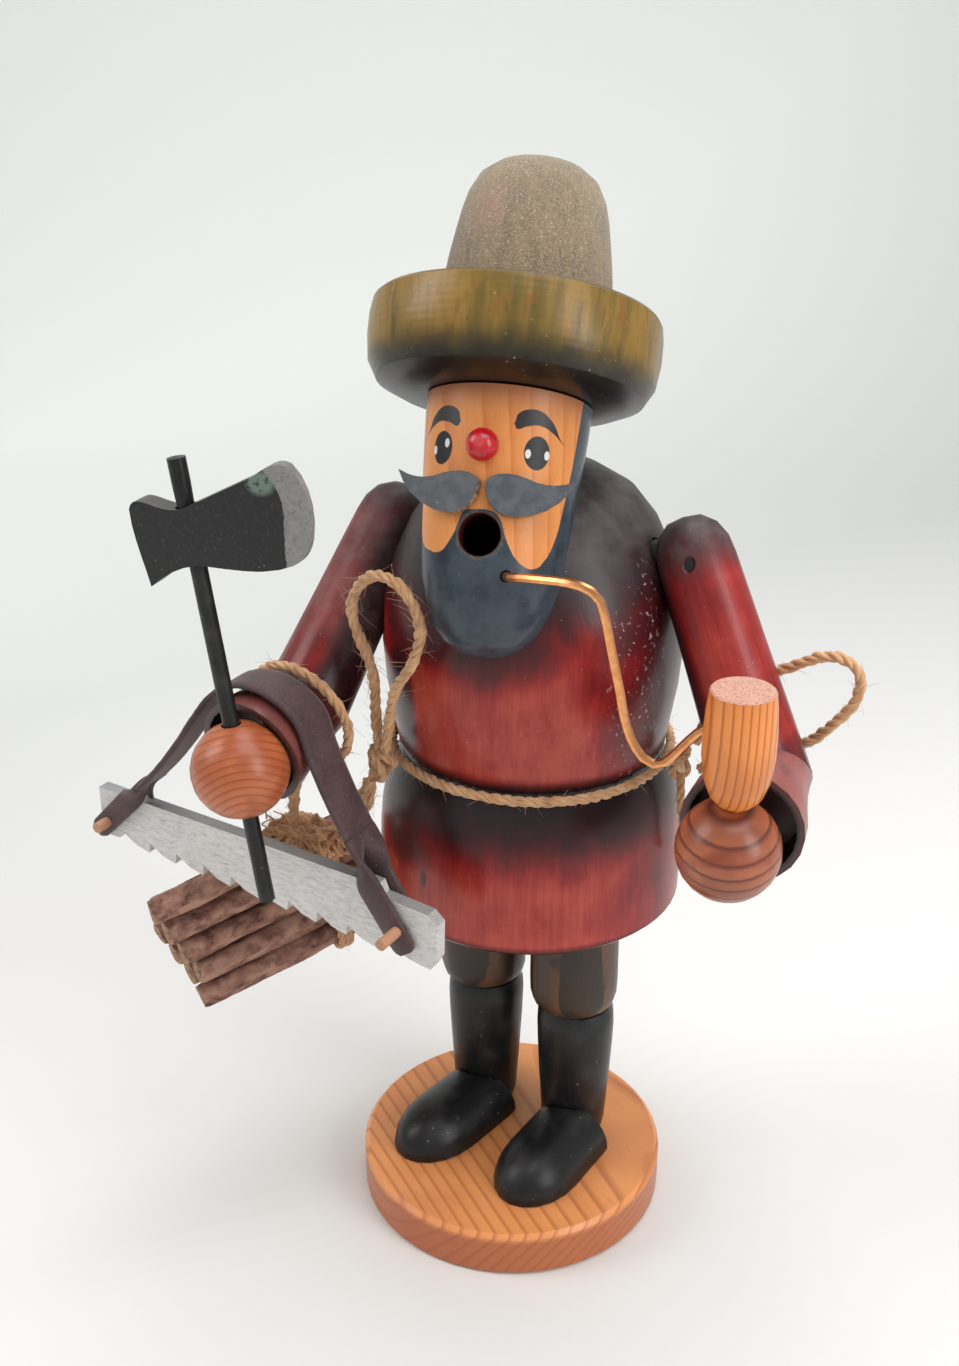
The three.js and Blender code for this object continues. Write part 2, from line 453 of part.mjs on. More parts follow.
// ---- twine --------------------------------------------------------------------------------------
const beltRing = (radius) => {
  const ring = new THREE.TorusGeometry(29.2 + GAP + TWINE_R, radius, 8, 44);
  ring.translate(AXIS[0], AXIS[1], WAIST_Z + 0.6);
  return solid(ring);
};
const skirtGrown = turned([[0, 70], [34.2, 76], [34.2, 91], [33.6, 97.4], [32.8, 102.2], [31.6, 106],
  [30.3, 108.9], [29.5, 110.3], [29, 111], [0, 111]], body, UP, 40);
const waist = turned(torsoProfile(GAP), body, UP, 40).add(skirtGrown).add(beltRing(TWINE_R + GAP));
add("belt_twine", beltRing(TWINE_R), TWINE, 0.9);
const lump = (at, rx, ry, rz, yaw = 0) => {
  const g = new THREE.SphereGeometry(1, 12, 8);
  g.scale(rx, ry, rz);
  g.rotateZ(yaw);
  g.translate(at.x, at.y, at.z);
  return solid(g);
};
add("belt_knot", lump(V(-21.2, -16, 112.6), 4.4, 3.4, 4.6, rad(34)).subtract(waist), TWINE, 0.9);
// The bow stands up off the chest and comes back to the knot.
const bow = [[-20.9, -19.6, 117.4], [-21.1, -20, 124.8], [-20.6, -21, 133.3], [-21.1, -22.4, 139.1],
  [-22.6, -23.6, 144.2], [-23.1, -24.4, 149.6], [-20.9, -25.2, 154.5], [-16.2, -26, 158.2], [-11.1, -26, 157.5],
  [-7.2, -26, 153.3], [-5.9, -26, 148.6], [-8.6, -25, 140.9], [-13.3, -24, 133.8], [-16.3, -22, 126.1],
  [-18, -21, 119.4], [-18.2, -20.8, 117.4]];
add("bow_twine", tube(bow, TWINE_R, 30), TWINE, 0.9);
// A turn of twine round the right forearm, and the lashing from it to the sticks.
const { elbow: elbowR, aim: aimR } = arms.right;
const cuffTurn = new THREE.TorusGeometry(12.3, TWINE_R, 8, 24);
add("arm_loop_twine", stand(cuffTurn, elbowR.clone().addScaledVector(aimR.clone().normalize(), 4.3)
  .add(V(0.9, 0, -0.9)), aimR.clone()), TWINE, 0.9);
const strand = (points, steps) => tube(points, TWINE_R * 1.3, steps);
add("link_twine", strand([[-23, -21.4, 107.8], [-24, -21.2, 104], [-26, -21, 100.6], [-28.6, -21, 97.8]], 5), TWINE, 0.9);
add("bundle_lashing", lump(V(-39.6, -22, 91.4), 11.6, 5.4, 6).add(
  strand([[-37.4, -26.4, 108.2], [-39, -26, 103], [-40.4, -24, 96], [-40, -22, 91]], 7)).subtract(sticksGrown), TWINE, 0.95);
const wrapShape = (grow) => {
  const w = 7.4 + grow, h = 18.2 + grow, r = 4.4 + grow, low = h - 2.6; // the back row has four sticks
  const shape = new THREE.Shape();
  shape.moveTo(-w + r, -low);
  shape.lineTo(w - r, -h);
  shape.quadraticCurveTo(w, -h, w, -h + r);
  shape.lineTo(w, h - r);
  shape.quadraticCurveTo(w, h, w - r, h);
  shape.lineTo(-w + r, low);
  shape.quadraticCurveTo(-w, low, -w, low - r);
  shape.lineTo(-w, -low + r);
  shape.quadraticCurveTo(-w, -low, -w + r, -low);
  return shape;
};
const wrapAt = (grow, deep) => {
  const g = new THREE.ExtrudeGeometry(wrapShape(grow), { depth: deep, bevelEnabled: false, curveSegments: 4 });
  g.translate(0, 0, -deep / 2);
  g.applyMatrix4(new THREE.Matrix4().makeBasis(flatways, upwards, along.clone().negate()));
  const at = bundle.clone().addScaledVector(along, 12.5);
  g.translate(at.x, at.y, at.z);
  return solid(g);
};
add("bundle_wrap", wrapAt(0, 5).subtract(wrapAt(-1.3, 9)), TWINE, 0.95);
// The tie on the left hip with its tail, and the loop that stands out behind the left arm.
add("hip_knot", lump(V(31.4, 14.4, 112), 3.2, 4.2, 4.4).add(
  tube([[32.4, 14.6, 110], [33.6, 13.6, 104], [35.4, 12.6, 98], [35.2, 12, 92.6]], TWINE_R, 8))
  .subtract(waist), TWINE, 0.9);
add("rear_loop_twine", tube([[34.6, 17.6, 116.2], [36.4, 20.6, 121.6], [40.4, 21.6, 127.6], [45, 21, 132],
  [49.5, 20.2, 134.7], [55.1, 20, 138.1], [59.6, 20, 140.6], [64.2, 20, 141], [67.5, 20, 138.2], [67.2, 20, 132.7],
  [62.9, 20.2, 126.2], [58.6, 20.6, 121.5], [50, 21.6, 116], [43, 21, 113], [38.4, 19.4, 111.6],
  [36, 17.2, 110.4]], TWINE_R, 30), TWINE, 0.9);

export default figure;
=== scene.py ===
"""Turned wooden incense smoker, a woodcutter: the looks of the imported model, in metres.

The figure faces -Y and its left hand is on +X.  Places are written in the millimetres of the CAD
drawing and turned into the frame's metres by at(); every random choice is seeded.
"""
import functools
import math
import random

import bpy
import numpy as np
from mathutils import Matrix, Vector


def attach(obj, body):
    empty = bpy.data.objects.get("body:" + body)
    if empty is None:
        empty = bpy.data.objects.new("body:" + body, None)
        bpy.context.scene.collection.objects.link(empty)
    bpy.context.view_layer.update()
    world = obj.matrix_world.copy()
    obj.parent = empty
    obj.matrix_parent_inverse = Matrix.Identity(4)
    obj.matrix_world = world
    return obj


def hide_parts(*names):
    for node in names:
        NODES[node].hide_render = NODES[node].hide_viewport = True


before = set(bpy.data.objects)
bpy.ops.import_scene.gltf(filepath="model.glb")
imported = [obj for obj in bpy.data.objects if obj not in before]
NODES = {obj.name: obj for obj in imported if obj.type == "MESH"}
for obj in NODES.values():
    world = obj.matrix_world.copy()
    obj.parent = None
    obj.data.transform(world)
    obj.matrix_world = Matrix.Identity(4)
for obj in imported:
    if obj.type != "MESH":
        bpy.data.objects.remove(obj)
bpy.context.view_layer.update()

# ---- driving dimensions, in millimetres -------------------------------------------------------
BASE_AT = (0.77, 0.46)  # the base's centre in the drawing; the frame's origin lies there
AXIS = (-1.4, 11.6)  # the turning axis of the body
BASE_T, WAIST_Z = 10.9, 111.0
HEAD_TURN, HEAD_LEAN = math.radians(17), math.radians(27.5)
HEAD_TOP = (-1.8, 1.3, 187.8)
MOUTH_H, MOUTH_R = -28.1, 4.05
TWINE_R = 1.15
SAW_Y, SAW_T, STRAP_W, STRAP_T = -36.7, 3.0, 10.0, 1.4
HAND_RIGHT, HAND_LEFT = (-35.7, -46.7, 120.1), (57.9, -21, 116.6)
SHOULDERS = {"right": (-34.9, 8.2, 156.4), "left": (33.4, 15, 158.2)}
ELBOWS = {"right": (-37.7, -21.1, 124.9), "left": (54.4, 5.7, 119)}
AIMS = {"right": (0, -0.978, -0.208), "left": (0.1735, -0.984, -0.035)}
REACH = {"right": 20, "left": 21}


def at(x, y, z):
    """A point of the drawing, in the frame's metres."""
    return Vector((x - BASE_AT[0], y - BASE_AT[1], z)) / 1000


def axes(z, x=None):
    """A right-handed frame as matrix columns, from its Z and a hint for its X."""
    z = Vector(z).normalized()
    x = Vector(x) if x else (Vector((1, 0, 0)) if abs(z.x) < 0.9 else Vector((0, 1, 0)))
    y = z.cross(x).normalized()
    return Matrix((y.cross(z), y, z)).transposed()


CAMERA_AT, CAMERA_TURN, CAMERA_TILT = (144.7, -259.1, 261.7), math.radians(30.5), math.radians(65.907)
SENSOR, FOCAL_SHARE = 36, 1548.3 / 1366  # the focal length as a share of the picture's height
HANDLE_AIM = (-0.142, -0.02, 0.99)  # up the axe's shaft
GLUE_GAP = 0.3
STRAP_SKEW, STRAP_MIDDLE = 0.083, -50  # the band runs askew over the forearm
FACING = Vector((math.sin(HEAD_TURN), -math.cos(HEAD_TURN), 0))
TALL = Vector((0, 0, math.cos(HEAD_LEAN))) - FACING * math.sin(HEAD_LEAN)
ASIDE = Vector((math.cos(HEAD_TURN), math.sin(HEAD_TURN), 0))
HEAD_AXES = axes(TALL, ASIDE)
UP = (0, 0, 1)


# ---- camera, light and floor ------------------------------------------------------------------
def make_camera():
    camera = bpy.data.objects.new("camera", bpy.data.cameras.new("camera"))
    camera.location = at(*CAMERA_AT)
    camera.rotation_euler = (CAMERA_TILT, 0, CAMERA_TURN)
    camera.data.sensor_width, camera.data.lens = SENSOR, SENSOR * FOCAL_SHARE
    camera.data.clip_start = 0.01
    bpy.context.collection.objects.link(camera)
    bpy.context.scene.camera = camera


def area_light(name, place, target, size, watts, color=(1, 1, 1)):
    data = bpy.data.lights.new(name, "AREA")
    data.shape, data.size, data.size_y = "RECTANGLE", *size
    data.energy, data.color = watts, color
    light = bpy.data.objects.new(name, data)
    light.location = place
    light.rotation_euler = (Vector(target) - Vector(place)).to_track_quat("-Z", "Y").to_euler()
    bpy.context.collection.objects.link(light)


def make_studio():
    bpy.context.scene.view_settings.view_transform = "Standard"
    world = bpy.data.worlds.new("studio")
    bpy.context.scene.world = world
    world.use_nodes = True
    back = world.node_tree.nodes["Background"]
    back.inputs["Color"].default_value = (1, 1, 1, 1)
    seen = world.node_tree.nodes.new("ShaderNodeLightPath").outputs["Is Camera Ray"]
    strength = world.node_tree.nodes.new("ShaderNodeMath")
    strength.operation = "MULTIPLY_ADD"
    strength.inputs[1].default_value, strength.inputs[2].default_value = 0.30, 0.50
    world.node_tree.links.new(seen, strength.inputs[0])
    world.node_tree.links.new(strength.outputs[0], back.inputs["Strength"])
    area_light("overhead", (0.10, 0.10, 0.75), (0, 0, 0.12), (0.7, 0.5), 3.6)
    area_light("key", (-0.55, -0.35, 0.62), (0, 0, 0.13), (0.35, 0.45), 2.0, (1, 0.985, 0.96))
    area_light("side", (0.62, -0.10, 0.40), (0, 0, 0.13), (0.25, 0.5), 1.7)


def make_sweep():
    """A white floor that curves up into a slightly greyer back wall, square to the camera. Its colour ramps
    darker and lighter with distance: painted light and shade.
    """
    p = Paint("sweep", 0.9)
    w = p.mm((0, 0, 0), Matrix.Rotation(CAMERA_TURN, 3, "Z"))
    away = p.step(p.axis(w, "Y"), -60, 700, smooth=False)
    # painted light and shade: the colour ramps with distance instead of the lamps making the fall-off
    p.finish(p.ramp(away, (0.0, (0.77, 0.762, 0.745)), (0.09, (0.825, 0.818, 0.80)),
                    (0.28, (0.75, 0.745, 0.735)),
                    (0.5, (0.70, 0.71, 0.70)), (0.86, (0.90, 0.92, 0.885)), (1.0, (0.97, 0.99, 0.955))))
    side = [(-2.5, 0)] + [(0.55 + 0.5 * math.sin(a), 0.5 - 0.5 * math.cos(a))
                          for a in np.linspace(0, math.pi / 2, 16)] + [(1.05, 2.6)]
    mesh = bpy.data.meshes.new("sweep")
    co = [(x, y, z) for x in (-3, 3) for y, z in side]
    count = len(side)
    mesh.from_pydata(co, [], [(i, count + i, count + i + 1, i + 1) for i in range(count - 1)])
    mesh.polygons.foreach_set("use_smooth", [True] * len(mesh.polygons))
    mesh.materials.append(p.mat)
    sweep = bpy.data.objects.new("sweep", mesh)
    sweep.rotation_euler.z = CAMERA_TURN
    bpy.context.collection.objects.link(sweep)


# ---- node materials ---------------------------------------------------------------------------
class Paint:
    """One procedural material.  Its methods each add a node and give back its output socket."""

    def __init__(self, name, roughness=0.4, **sockets):
        self.mat = bpy.data.materials.new(name)
        self.mat.use_nodes = True
        self.tree = self.mat.node_tree
        self.shader = self.tree.nodes["Principled BSDF"]
        self.shader.inputs["Roughness"].default_value = roughness
        for key, value in sockets.items():
            self.shader.inputs[key.replace("_", " ").title().replace("Ior", "IOR")].default_value = value
        self.where = self.mm((0, 0, 0), Matrix.Identity(3))

    def node(self, kind, inputs=(), **props):
        n = self.tree.nodes.new("ShaderNode" + kind)
        for key, value in props.items():
            setattr(n, key, value)
        for key, value in dict(inputs).items():
            self.put(n.inputs[key], value)
        return n

    def put(self, socket, value):
        if isinstance(value, bpy.types.NodeSocket):
            self.tree.links.new(value, socket)
        elif value is not None:
            if hasattr(socket.default_value, "__len__"):
                value = (value,) * 3 if isinstance(value, (int, float)) else tuple(value)
                value = (*value, 1) if len(socket.default_value) == 4 else value
            socket.default_value = value

    def mm(self, origin, columns):
        """Object coordinates in millimetres, in a frame with this origin (drawing mm) and axes."""
        coord = self.node("TexCoord").outputs["Object"]
        return self.node("Mapping", {"Vector": coord, "Location": at(*origin), "Scale": (0.001,) * 3,
                                     "Rotation": columns.to_euler()}, vector_type="TEXTURE").outputs[0]

    def axis(self, vector, which):
        return self.node("SeparateXYZ", {0: vector}).outputs["XYZ".index(which)]

    def math(self, operation, a, b=None, c=None):
        return self.node("Math", {0: a, 1: b, 2: c}, operation=operation).outputs[0]

    def linear(self, value, scale, offset):
        return self.math("MULTIPLY_ADD", value, scale, offset)

    def plus(self, a, b):
        return self.math("ADD", a, b)

    def size(self, value):
        return self.math("ABSOLUTE", value)

    def times(self, *values):
        return functools.reduce(lambda a, b: self.math("MULTIPLY", a, b), values)

    def most(self, *values):
        return functools.reduce(lambda a, b: self.math("MAXIMUM", a, b), values)

    def over(self, color, tint, *masks):
        """The tint laid over the colour where all the masks are high."""
        return self.mix(color, tint, self.times(*masks))

    def xyz(self, vector):
        return [self.axis(vector, which) for which in "XYZ"]

    def scaled(self, vector, factors):
        return self.node("VectorMath", {0: vector, 1: factors}, operation="MULTIPLY").outputs[0]

    def step(self, value, low, high, smooth=True):
        """0 below low, 1 above high (or the other way round when low > high)."""
        kind = "SMOOTHSTEP" if smooth else "LINEAR"
        lo, hi, a, b = (low, high, 0, 1) if low < high else (high, low, 1, 0)
        return self.node("MapRange", {0: value, 1: lo, 2: hi, 3: a, 4: b},
                         interpolation_type=kind).outputs[0]

    def noise(self, vector, scale=1.0, detail=3.0, stretch=(1, 1, 1), rough=0.55, distortion=0.0):
        vector = self.scaled(vector, tuple(scale * s for s in stretch))
        return self.node("TexNoise", {"Vector": vector, "Scale": 1, "Detail": detail,
                                      "Roughness": rough, "Distortion": distortion}).outputs[0]

    def mix(self, a, b, factor):
        n = self.node("Mix", data_type="RGBA")
        self.put(n.inputs[0], factor)
        self.put(n.inputs[6], a)
        self.put(n.inputs[7], b)
        return n.outputs[2]

    def ramp(self, value, *stops):
        n = self.node("ValToRGB", {0: value})
        ramp = n.color_ramp
        while len(ramp.elements) < len(stops):
            ramp.elements.new(0.5)
        for element, (position, color) in zip(ramp.elements, stops):
            element.position, element.color = position, (*color, 1)
        return n.outputs[0]

    def curve(self, value, points, x_range, y_range):
        """A curve through given points, as a value."""
        x0, x1 = x_range
        y0, y1 = y_range
        unit = self.node("MapRange", {0: value, 1: x0, 2: x1}).outputs[0]
        n = self.node("FloatCurve", {"Value": unit})
        line = n.mapping.curves[0]
        spots = [((x - x0) / (x1 - x0), (y - y0) / (y1 - y0)) for x, y in points]
        line.points[0].location, line.points[-1].location = spots[0], spots[-1]
        for spot in spots[1:-1]:
            line.points.new(*spot)
        n.mapping.update()
        return self.node("MapRange", {0: n.outputs[0], 3: y0, 4: y1}).outputs[0]

    def spot(self, vector, centre, radii, soft=0.25):
        """1 inside an ellipsoid of these half-sizes, falling to 0 over the soft part of its edge."""
        off = self.node("VectorMath", {0: vector, 1: centre}, operation="SUBTRACT").outputs[0]
        unit = self.scaled(off, tuple(1 / r for r in radii))
        length = self.node("VectorMath", {0: unit}, operation="LENGTH").outputs["Value"]
        return self.step(length, 1 + soft, 1 - soft)

    def specks(self, vector, spacing, share, size=0.22):
        """Small scattered dots: dust and chips."""
        n = self.node("TexVoronoi", {"Vector": vector, "Scale": 1 / spacing})
        few = self.math("GREATER_THAN", self.axis(n.outputs["Color"], "X"), 1 - share)
        grain = self.step(self.noise(vector, 2.3, 1), 0.42, 0.6)
        dot = self.step(n.outputs["Distance"], size, size * 0.5)
        return self.math("MULTIPLY", self.math("MULTIPLY", dot, few), grain)

    def bump(self, height, depth, strength=1.0):
        """Relief of this depth in millimetres, on top of what is there already."""
        n = self.node("Bump", {"Height": height, "Distance": depth / 1000, "Strength": strength})
        normal = self.shader.inputs["Normal"]
        if normal.links:
            self.tree.links.new(normal.links[0].from_socket, n.inputs["Normal"])
        self.tree.links.new(n.outputs[0], normal)

    def rings(self, vector, spacing, distortion=2.0, profile="SAW"):
        """Growth rings round the local Z axis, 0 in earlywood to 1 in latewood."""
        return self.node("TexWave", {"Vector": vector, "Scale": 0.314 / spacing, "Distortion": distortion,
                                     "Detail": 2.5, "Detail Scale": 0.06, "Detail Roughness": 0.6},
                         wave_type="RINGS", rings_direction="Z", wave_profile=profile).outputs[1]

    def fibres(self, vector, across=4.0, along=0.18, detail=4.0):
        return self.noise(vector, 1, detail, (across, across, along), 0.6)

    def finish(self, color, roughness=None):
        self.put(self.shader.inputs["Base Color"], color)
        if roughness is not None:
            self.put(self.shader.inputs["Roughness"], roughness)
        return self.mat


def varnished_wood(name, origin, columns, spacing, light, dark, contrast=1.0, roughness=0.3, tilt=0.05,
                   distortion=2.5):
    """Clear-varnished softwood: rings, fibres and pores round the local Z axis."""
    p = Paint(name, roughness, coat_weight=0.1, coat_roughness=0.16)
    where = p.mm(origin, columns)
    ring = p.rings(where, spacing, distortion)
    late = p.ramp(ring, (0.0, (0, 0, 0)), (0.62, (0.12,) * 3), (0.88, (1,) * 3), (1.0, (0.2,) * 3))
    fibre = p.fibres(where)
    patch = p.noise(where, tilt, 2)
    middle = tuple((a + b) / 2 for a, b in zip(light, dark))
    base = p.mix(light, middle, p.step(patch, 0.35, 0.75))
    base = p.mix(base, dark, p.times(late, contrast))
    base = p.mix(base, tuple(c * 0.55 for c in dark), p.times(p.step(fibre, 0.58, 0.8), 0.5))
    p.bump(fibre, 0.05, 0.5)
    return p, where, base


def pine_base():
    p, _, base = varnished_wood(
        "varnished_pine_base", (15, 20, -27), axes((0.86, -0.51, 0.05)), 2.3,
        (0.93, 0.37, 0.125), (0.50, 0.145, 0.045), 0.75, 0.34, 0.03, 3.2)
    low = p.axis(p.where, "Z")
    base = p.mix(base, (0.36, 0.07, 0.020), p.times(p.step(low, BASE_T - 0.3, BASE_T - 2.5),
                                                   0.72))
    base = p.over(base, (0.22, 0.08, 0.03), p.spot(p.where, (-1, 24, BASE_T), (1.6, 1.0, 3)), 0.8)
    return p.finish(base)


def hand_wood(name, centre, direction, light, dark, spacing, band):
    p, where, base = varnished_wood(name, centre, axes(direction), spacing, light, dark, 0.9, 0.33, 0.09,
                                    1.3)
    shade = p.noise(where, 0.13, 2, (1, 1, 0.25))
    base = p.mix(base, band, p.times(p.step(shade, 0.5, 0.66), 0.75))
    return p.finish(base)


def pipe_wood():
    x, y, z = HAND_LEFT
    p, _, base = varnished_wood("pipe_wood", (x + 25, y + 13, z), axes((0.03, 0.02, 1)), 1.45,
                                    (0.92, 0.31, 0.070), (0.34, 0.07, 0.018), 0.8, 0.34, 0.05, 0.3)
    high = p.axis(p.where, "Z")
    end = p.step(high, z + 32.3, z + 32.8)
    pores = p.noise(p.where, 3.2, 2)
    top = p.mix((0.66, 0.36, 0.27), (0.42, 0.17, 0.11), p.step(pores, 0.5, 0.62))
    return p.finish(p.mix(base, top, end))


def bare_wood():
    p = Paint("bare_wood", 0.6)
    fibre = p.fibres(p.where, 5, 1.2)
    p.bump(fibre, 0.06, 0.6)
    return p.finish(p.ramp(fibre, (0.3, (0.62, 0.33, 0.19)), (0.7, (0.42, 0.19, 0.10))))


RED = ((0.0, (0.46, 0.060, 0.036)), (0.18, (0.33, 0.022, 0.018)), (0.36, (0.205, 0.009, 0.010)),
       (0.54, (0.105, 0.007, 0.009)), (0.75, (0.046, 0.008, 0.011)), (1.0, (0.019, 0.009, 0.012)))


def red_lacquer(name, origin, columns, darkness, dust=None, roughness=0.3):
    """Dark red stain, sprayed nearly black towards the edges, under clear lacquer.  `darkness` is a
    function of the material and its local millimetres that gives 0 to 1; on the torso it also holds
    a painted shadow under the beard."""
    p = Paint(name, roughness, coat_weight=0.06, coat_roughness=0.12, specular_ior_level=0.42)
    where = p.mm(origin, columns)
    streak = p.fibres(where, 0.9, 0.035, 3)
    fine = p.fibres(where, 5.0, 0.16)
    cloud = p.noise(where, 0.075, 3)
    dark = darkness(p, where)
    blot = p.noise(where, 0.20, 4, (1, 1, 0.45), 0.6, 0.5)
    wander = p.plus(p.linear(cloud, 0.6, -0.28),
                    p.linear(blot, 0.36, -0.17))
    grain = p.linear(streak, 0.3, -0.11)
    level = p.plus(p.plus(dark, wander), grain)
    level = p.plus(level, p.linear(fine, 0.24, -0.12))
    color = p.ramp(level, *RED)
    if dust:
        # grey where the mask is high: dust, and on the torso's dome also a painted sheen
        dust_and_sheen = dust(p, where)
        film = p.step(p.noise(where, 0.22, 5), 0.15, 0.85)
        color = p.over(color, (0.24, 0.205, 0.195), dust_and_sheen, film, 0.36)
        color = p.over(color, (0.55, 0.5, 0.48), p.specks(where, 1.0, 0.16, 0.15), 0.6)
        p.put(p.shader.inputs["Roughness"], p.linear(dust_and_sheen, 0.25, roughness))
    p.bump(fine, 0.05, 0.45)
    p.bump(p.noise(where, 0.16, 2), 0.22, 0.25)
    return p, color


def torso_paint():
    def darkness(p, w):
        x, _, z = p.xyz(w)
        top = p.step(z, 134, 163)
        foot = p.step(z, 116.5, 111.5)
        right = p.times(p.step(x, 14, 33), p.step(z, 126, 150), 0.7)
        brush = p.times(p.spot(w, (-16.5, -27, 127), (4.2, 9, 14), 0.5), 0.75)
        flank = p.times(p.step(p.size(x), 22, 32), 0.55)
        # painted shadow of the beard on the chest
        beard_shadow = p.times(p.spot(w, (3, -28, 146), (19, 14, 9), 0.5), 0.6)
        left = p.times(p.spot(w, (-16, -28, 152), (12, 12, 14), 0.6), 0.5)
        return p.most(top, foot, right, brush, flank, beard_shadow, left)

    # the dome's top is greyed with dust and a painted sheen
    p, color = red_lacquer("torso_lacquer", (*AXIS, 0), Matrix.Identity(3), darkness,
                           lambda p, w: p.step(p.axis(w, "Z"), 150, 170))
    seam = p.times(p.step(p.axis(p.where, "X"), 24.2, 26.4), p.step(p.axis(p.where, "Y"), 12, 4),
                 p.step(p.noise(p.where, 0.9, 5), 0.6, 0.66))
    color = p.over(color, (0.48, 0.38, 0.36), seam, 0.7)
    # painted shade: the mouth's bore is painted near-black where it runs into the body
    mouth = p.mm(HEAD_TOP, HEAD_AXES)
    bore_shade = p.spot(p.scaled(mouth, (1, 0, 1)), (0, 0, MOUTH_H), (MOUTH_R + 0.3,) * 3, 0.02)
    return p.finish(p.mix(color, (0.012, 0.006, 0.006), p.times(bore_shade, p.step(p.axis(mouth, "Y"), 14, 12))))


def skirt_paint():
    def darkness(p, w):
        x, _, z = p.xyz(w)
        band = p.math("POWER", p.step(z, 90, 110.5), 0.85)
        edge = p.times(p.step(z, 78.6, 76.6), 0.6)
        stain = p.times(p.spot(w, (-14, -30, 97), (9, 12, 6), 0.5), 0.45)
        return p.most(band, edge, stain, p.times(p.step(p.size(x), 27, 34), 0.3))

    p, color = red_lacquer("skirt_lacquer", (*AXIS, 0), Matrix.Identity(3), darkness)
    mark = p.spot(p.where, (-9.3, -21.3, 89.6), (0.9, 2.0, 2.0), 0.3)
    return p.finish(p.mix(color, (0.03, 0.035, 0.03), p.times(mark, 0.85)))


def arm_paint(side):
    shoulder, elbow = Vector(SHOULDERS[side]), Vector(ELBOWS[side])

    def darkness(p, w):
        down = p.axis(w, "Z")
        top = p.times(p.step(down, 10, -7), 0.85)
        inner = p.step(p.axis(w, "X"), *((-1.5, -7.5) if side == "left" else (0.5, 7.5)))
        foot = p.times(p.step(down, 36, 42), 0.5)
        base = 0.16 if side == "left" else 0.34
        return p.most(top, p.times(inner, 0.8), foot, base)

    p, color = red_lacquer(side + "_arm_lacquer", shoulder, axes(elbow - shoulder, (1, 0, 0)), darkness,
                           (lambda p, w: p.step(p.axis(w, "Z"), 34, 24)) if side == "right" else
                           (lambda p, w: p.step(p.axis(w, "Z"), 6, -4)), 0.33)
    if side == "left":  # a small knot in the wood
        knot = p.spot(p.where, (35.2, 7.1, 159.5), (1.1, 2.0, 1.5), 0.2)
        color = p.mix(color, (0.012, 0.009, 0.009), knot)
        p.bump(p.times(knot, -1), 0.5)
    return p.finish(color)


def forearm_paint(side):
    """Dull red outside, black in the cuff's mouth."""
    where = (Vector(ELBOWS[side]), axes(AIMS[side]))
    p = Paint(side + "_forearm_lacquer", 0.42, coat_weight=0.25, coat_roughness=0.3)
    w = p.mm(*where)
    x, y, z = p.xyz(w)
    off = p.math("SQRT", p.plus(p.times(x, x), p.times(y, y)))
    fine = p.fibres(w, 4.5, 0.2)
    cloud = p.noise(w, 0.12, 3)
    # painted light: the left forearm is a lightened copy of the same lacquer, for the light it catches
    painted_light_gain = 1.6 if side == "left" else 1.0
    color = p.ramp(p.plus(p.times(cloud, 0.7), p.times(fine, 0.4)),
                   (0.3, (0.26 * painted_light_gain, 0.072 * painted_light_gain, 0.062 * painted_light_gain)),
                   (0.6, (0.17 * painted_light_gain, 0.044 * painted_light_gain, 0.040 * painted_light_gain)), (0.8, (0.09, 0.024, 0.024)))
    color = p.mix(color, (0.03, 0.014, 0.016), p.step(p.axis(p.where, "Z"), 119, 108))
    color = p.over(color, (0.30, 0.2, 0.19), p.specks(w, 1.0, 0.3, 0.16), 0.6)
    inside = p.times(p.step(off, 11.0, 10.7), p.step(z, REACH[side] - 7.6, REACH[side] - 6.8))
    rim = p.step(z, REACH[side] - 0.5, REACH[side] - 0.1)
    color = p.over(color, (0.05, 0.022, 0.022), rim, 0.8)
    color = p.mix(color, (0.012, 0.010, 0.010), inside)
    p.bump(fine, 0.06, 0.5)
    return p.finish(color)


def black_lacquer(name, dust_level=0.2, origin=(0, 0, 0), direction=UP):
    p = Paint(name, 0.34, specular_ior_level=0.35)
    where = p.mm(origin, axes(direction))
    fine = p.fibres(where, 4.0, 0.12)
    cloud = p.noise(where, 0.12, 3)
    color = p.ramp(fine, (0.3, (0.007, 0.0072, 0.008)), (0.6, (0.013, 0.0125, 0.013)),
                   (0.85, (0.034, 0.030, 0.028)))
    color = p.over(color, (0.10, 0.095, 0.10), p.step(cloud, 0.45, 0.75), dust_level)
    color = p.over(color, (0.3, 0.29, 0.29), p.specks(where, 1.6, 0.15), 0.5)
    p.bump(fine, 0.05, 0.5)
    p.bump(cloud, 0.3, 0.2)
    return p.finish(color, p.linear(cloud, 0.3, 0.2))


def trouser_stain():
    p = Paint("olive_stain", 0.38, specular_ior_level=0.4)
    ring = p.rings(p.mm((-20, 40, 0), axes((0.1, 0.06, 1))), 4.5, 3)
    fine = p.fibres(p.where, 3.5, 0.1)
    color = p.ramp(p.plus(p.times(ring, 0.6), p.times(fine, 0.4)),
                   (0.15, (0.022, 0.015, 0.011)), (0.5, (0.062, 0.036, 0.020)),
                   (0.85, (0.14, 0.064, 0.028)))
    front = p.noise(p.where, 0.09, 2)
    color = p.mix(color, (0.028, 0.024, 0.021), p.step(front, 0.48, 0.66))
    p.bump(fine, 0.05, 0.5)
    return p.finish(color)


def tin():
    p = Paint("tin", 0.38, metallic=1.0)
    return p.finish(p.ramp(p.noise(p.where, 0.4, 3), (0.3, (0.62, 0.62, 0.60)), (0.7, (0.42, 0.40, 0.38))))


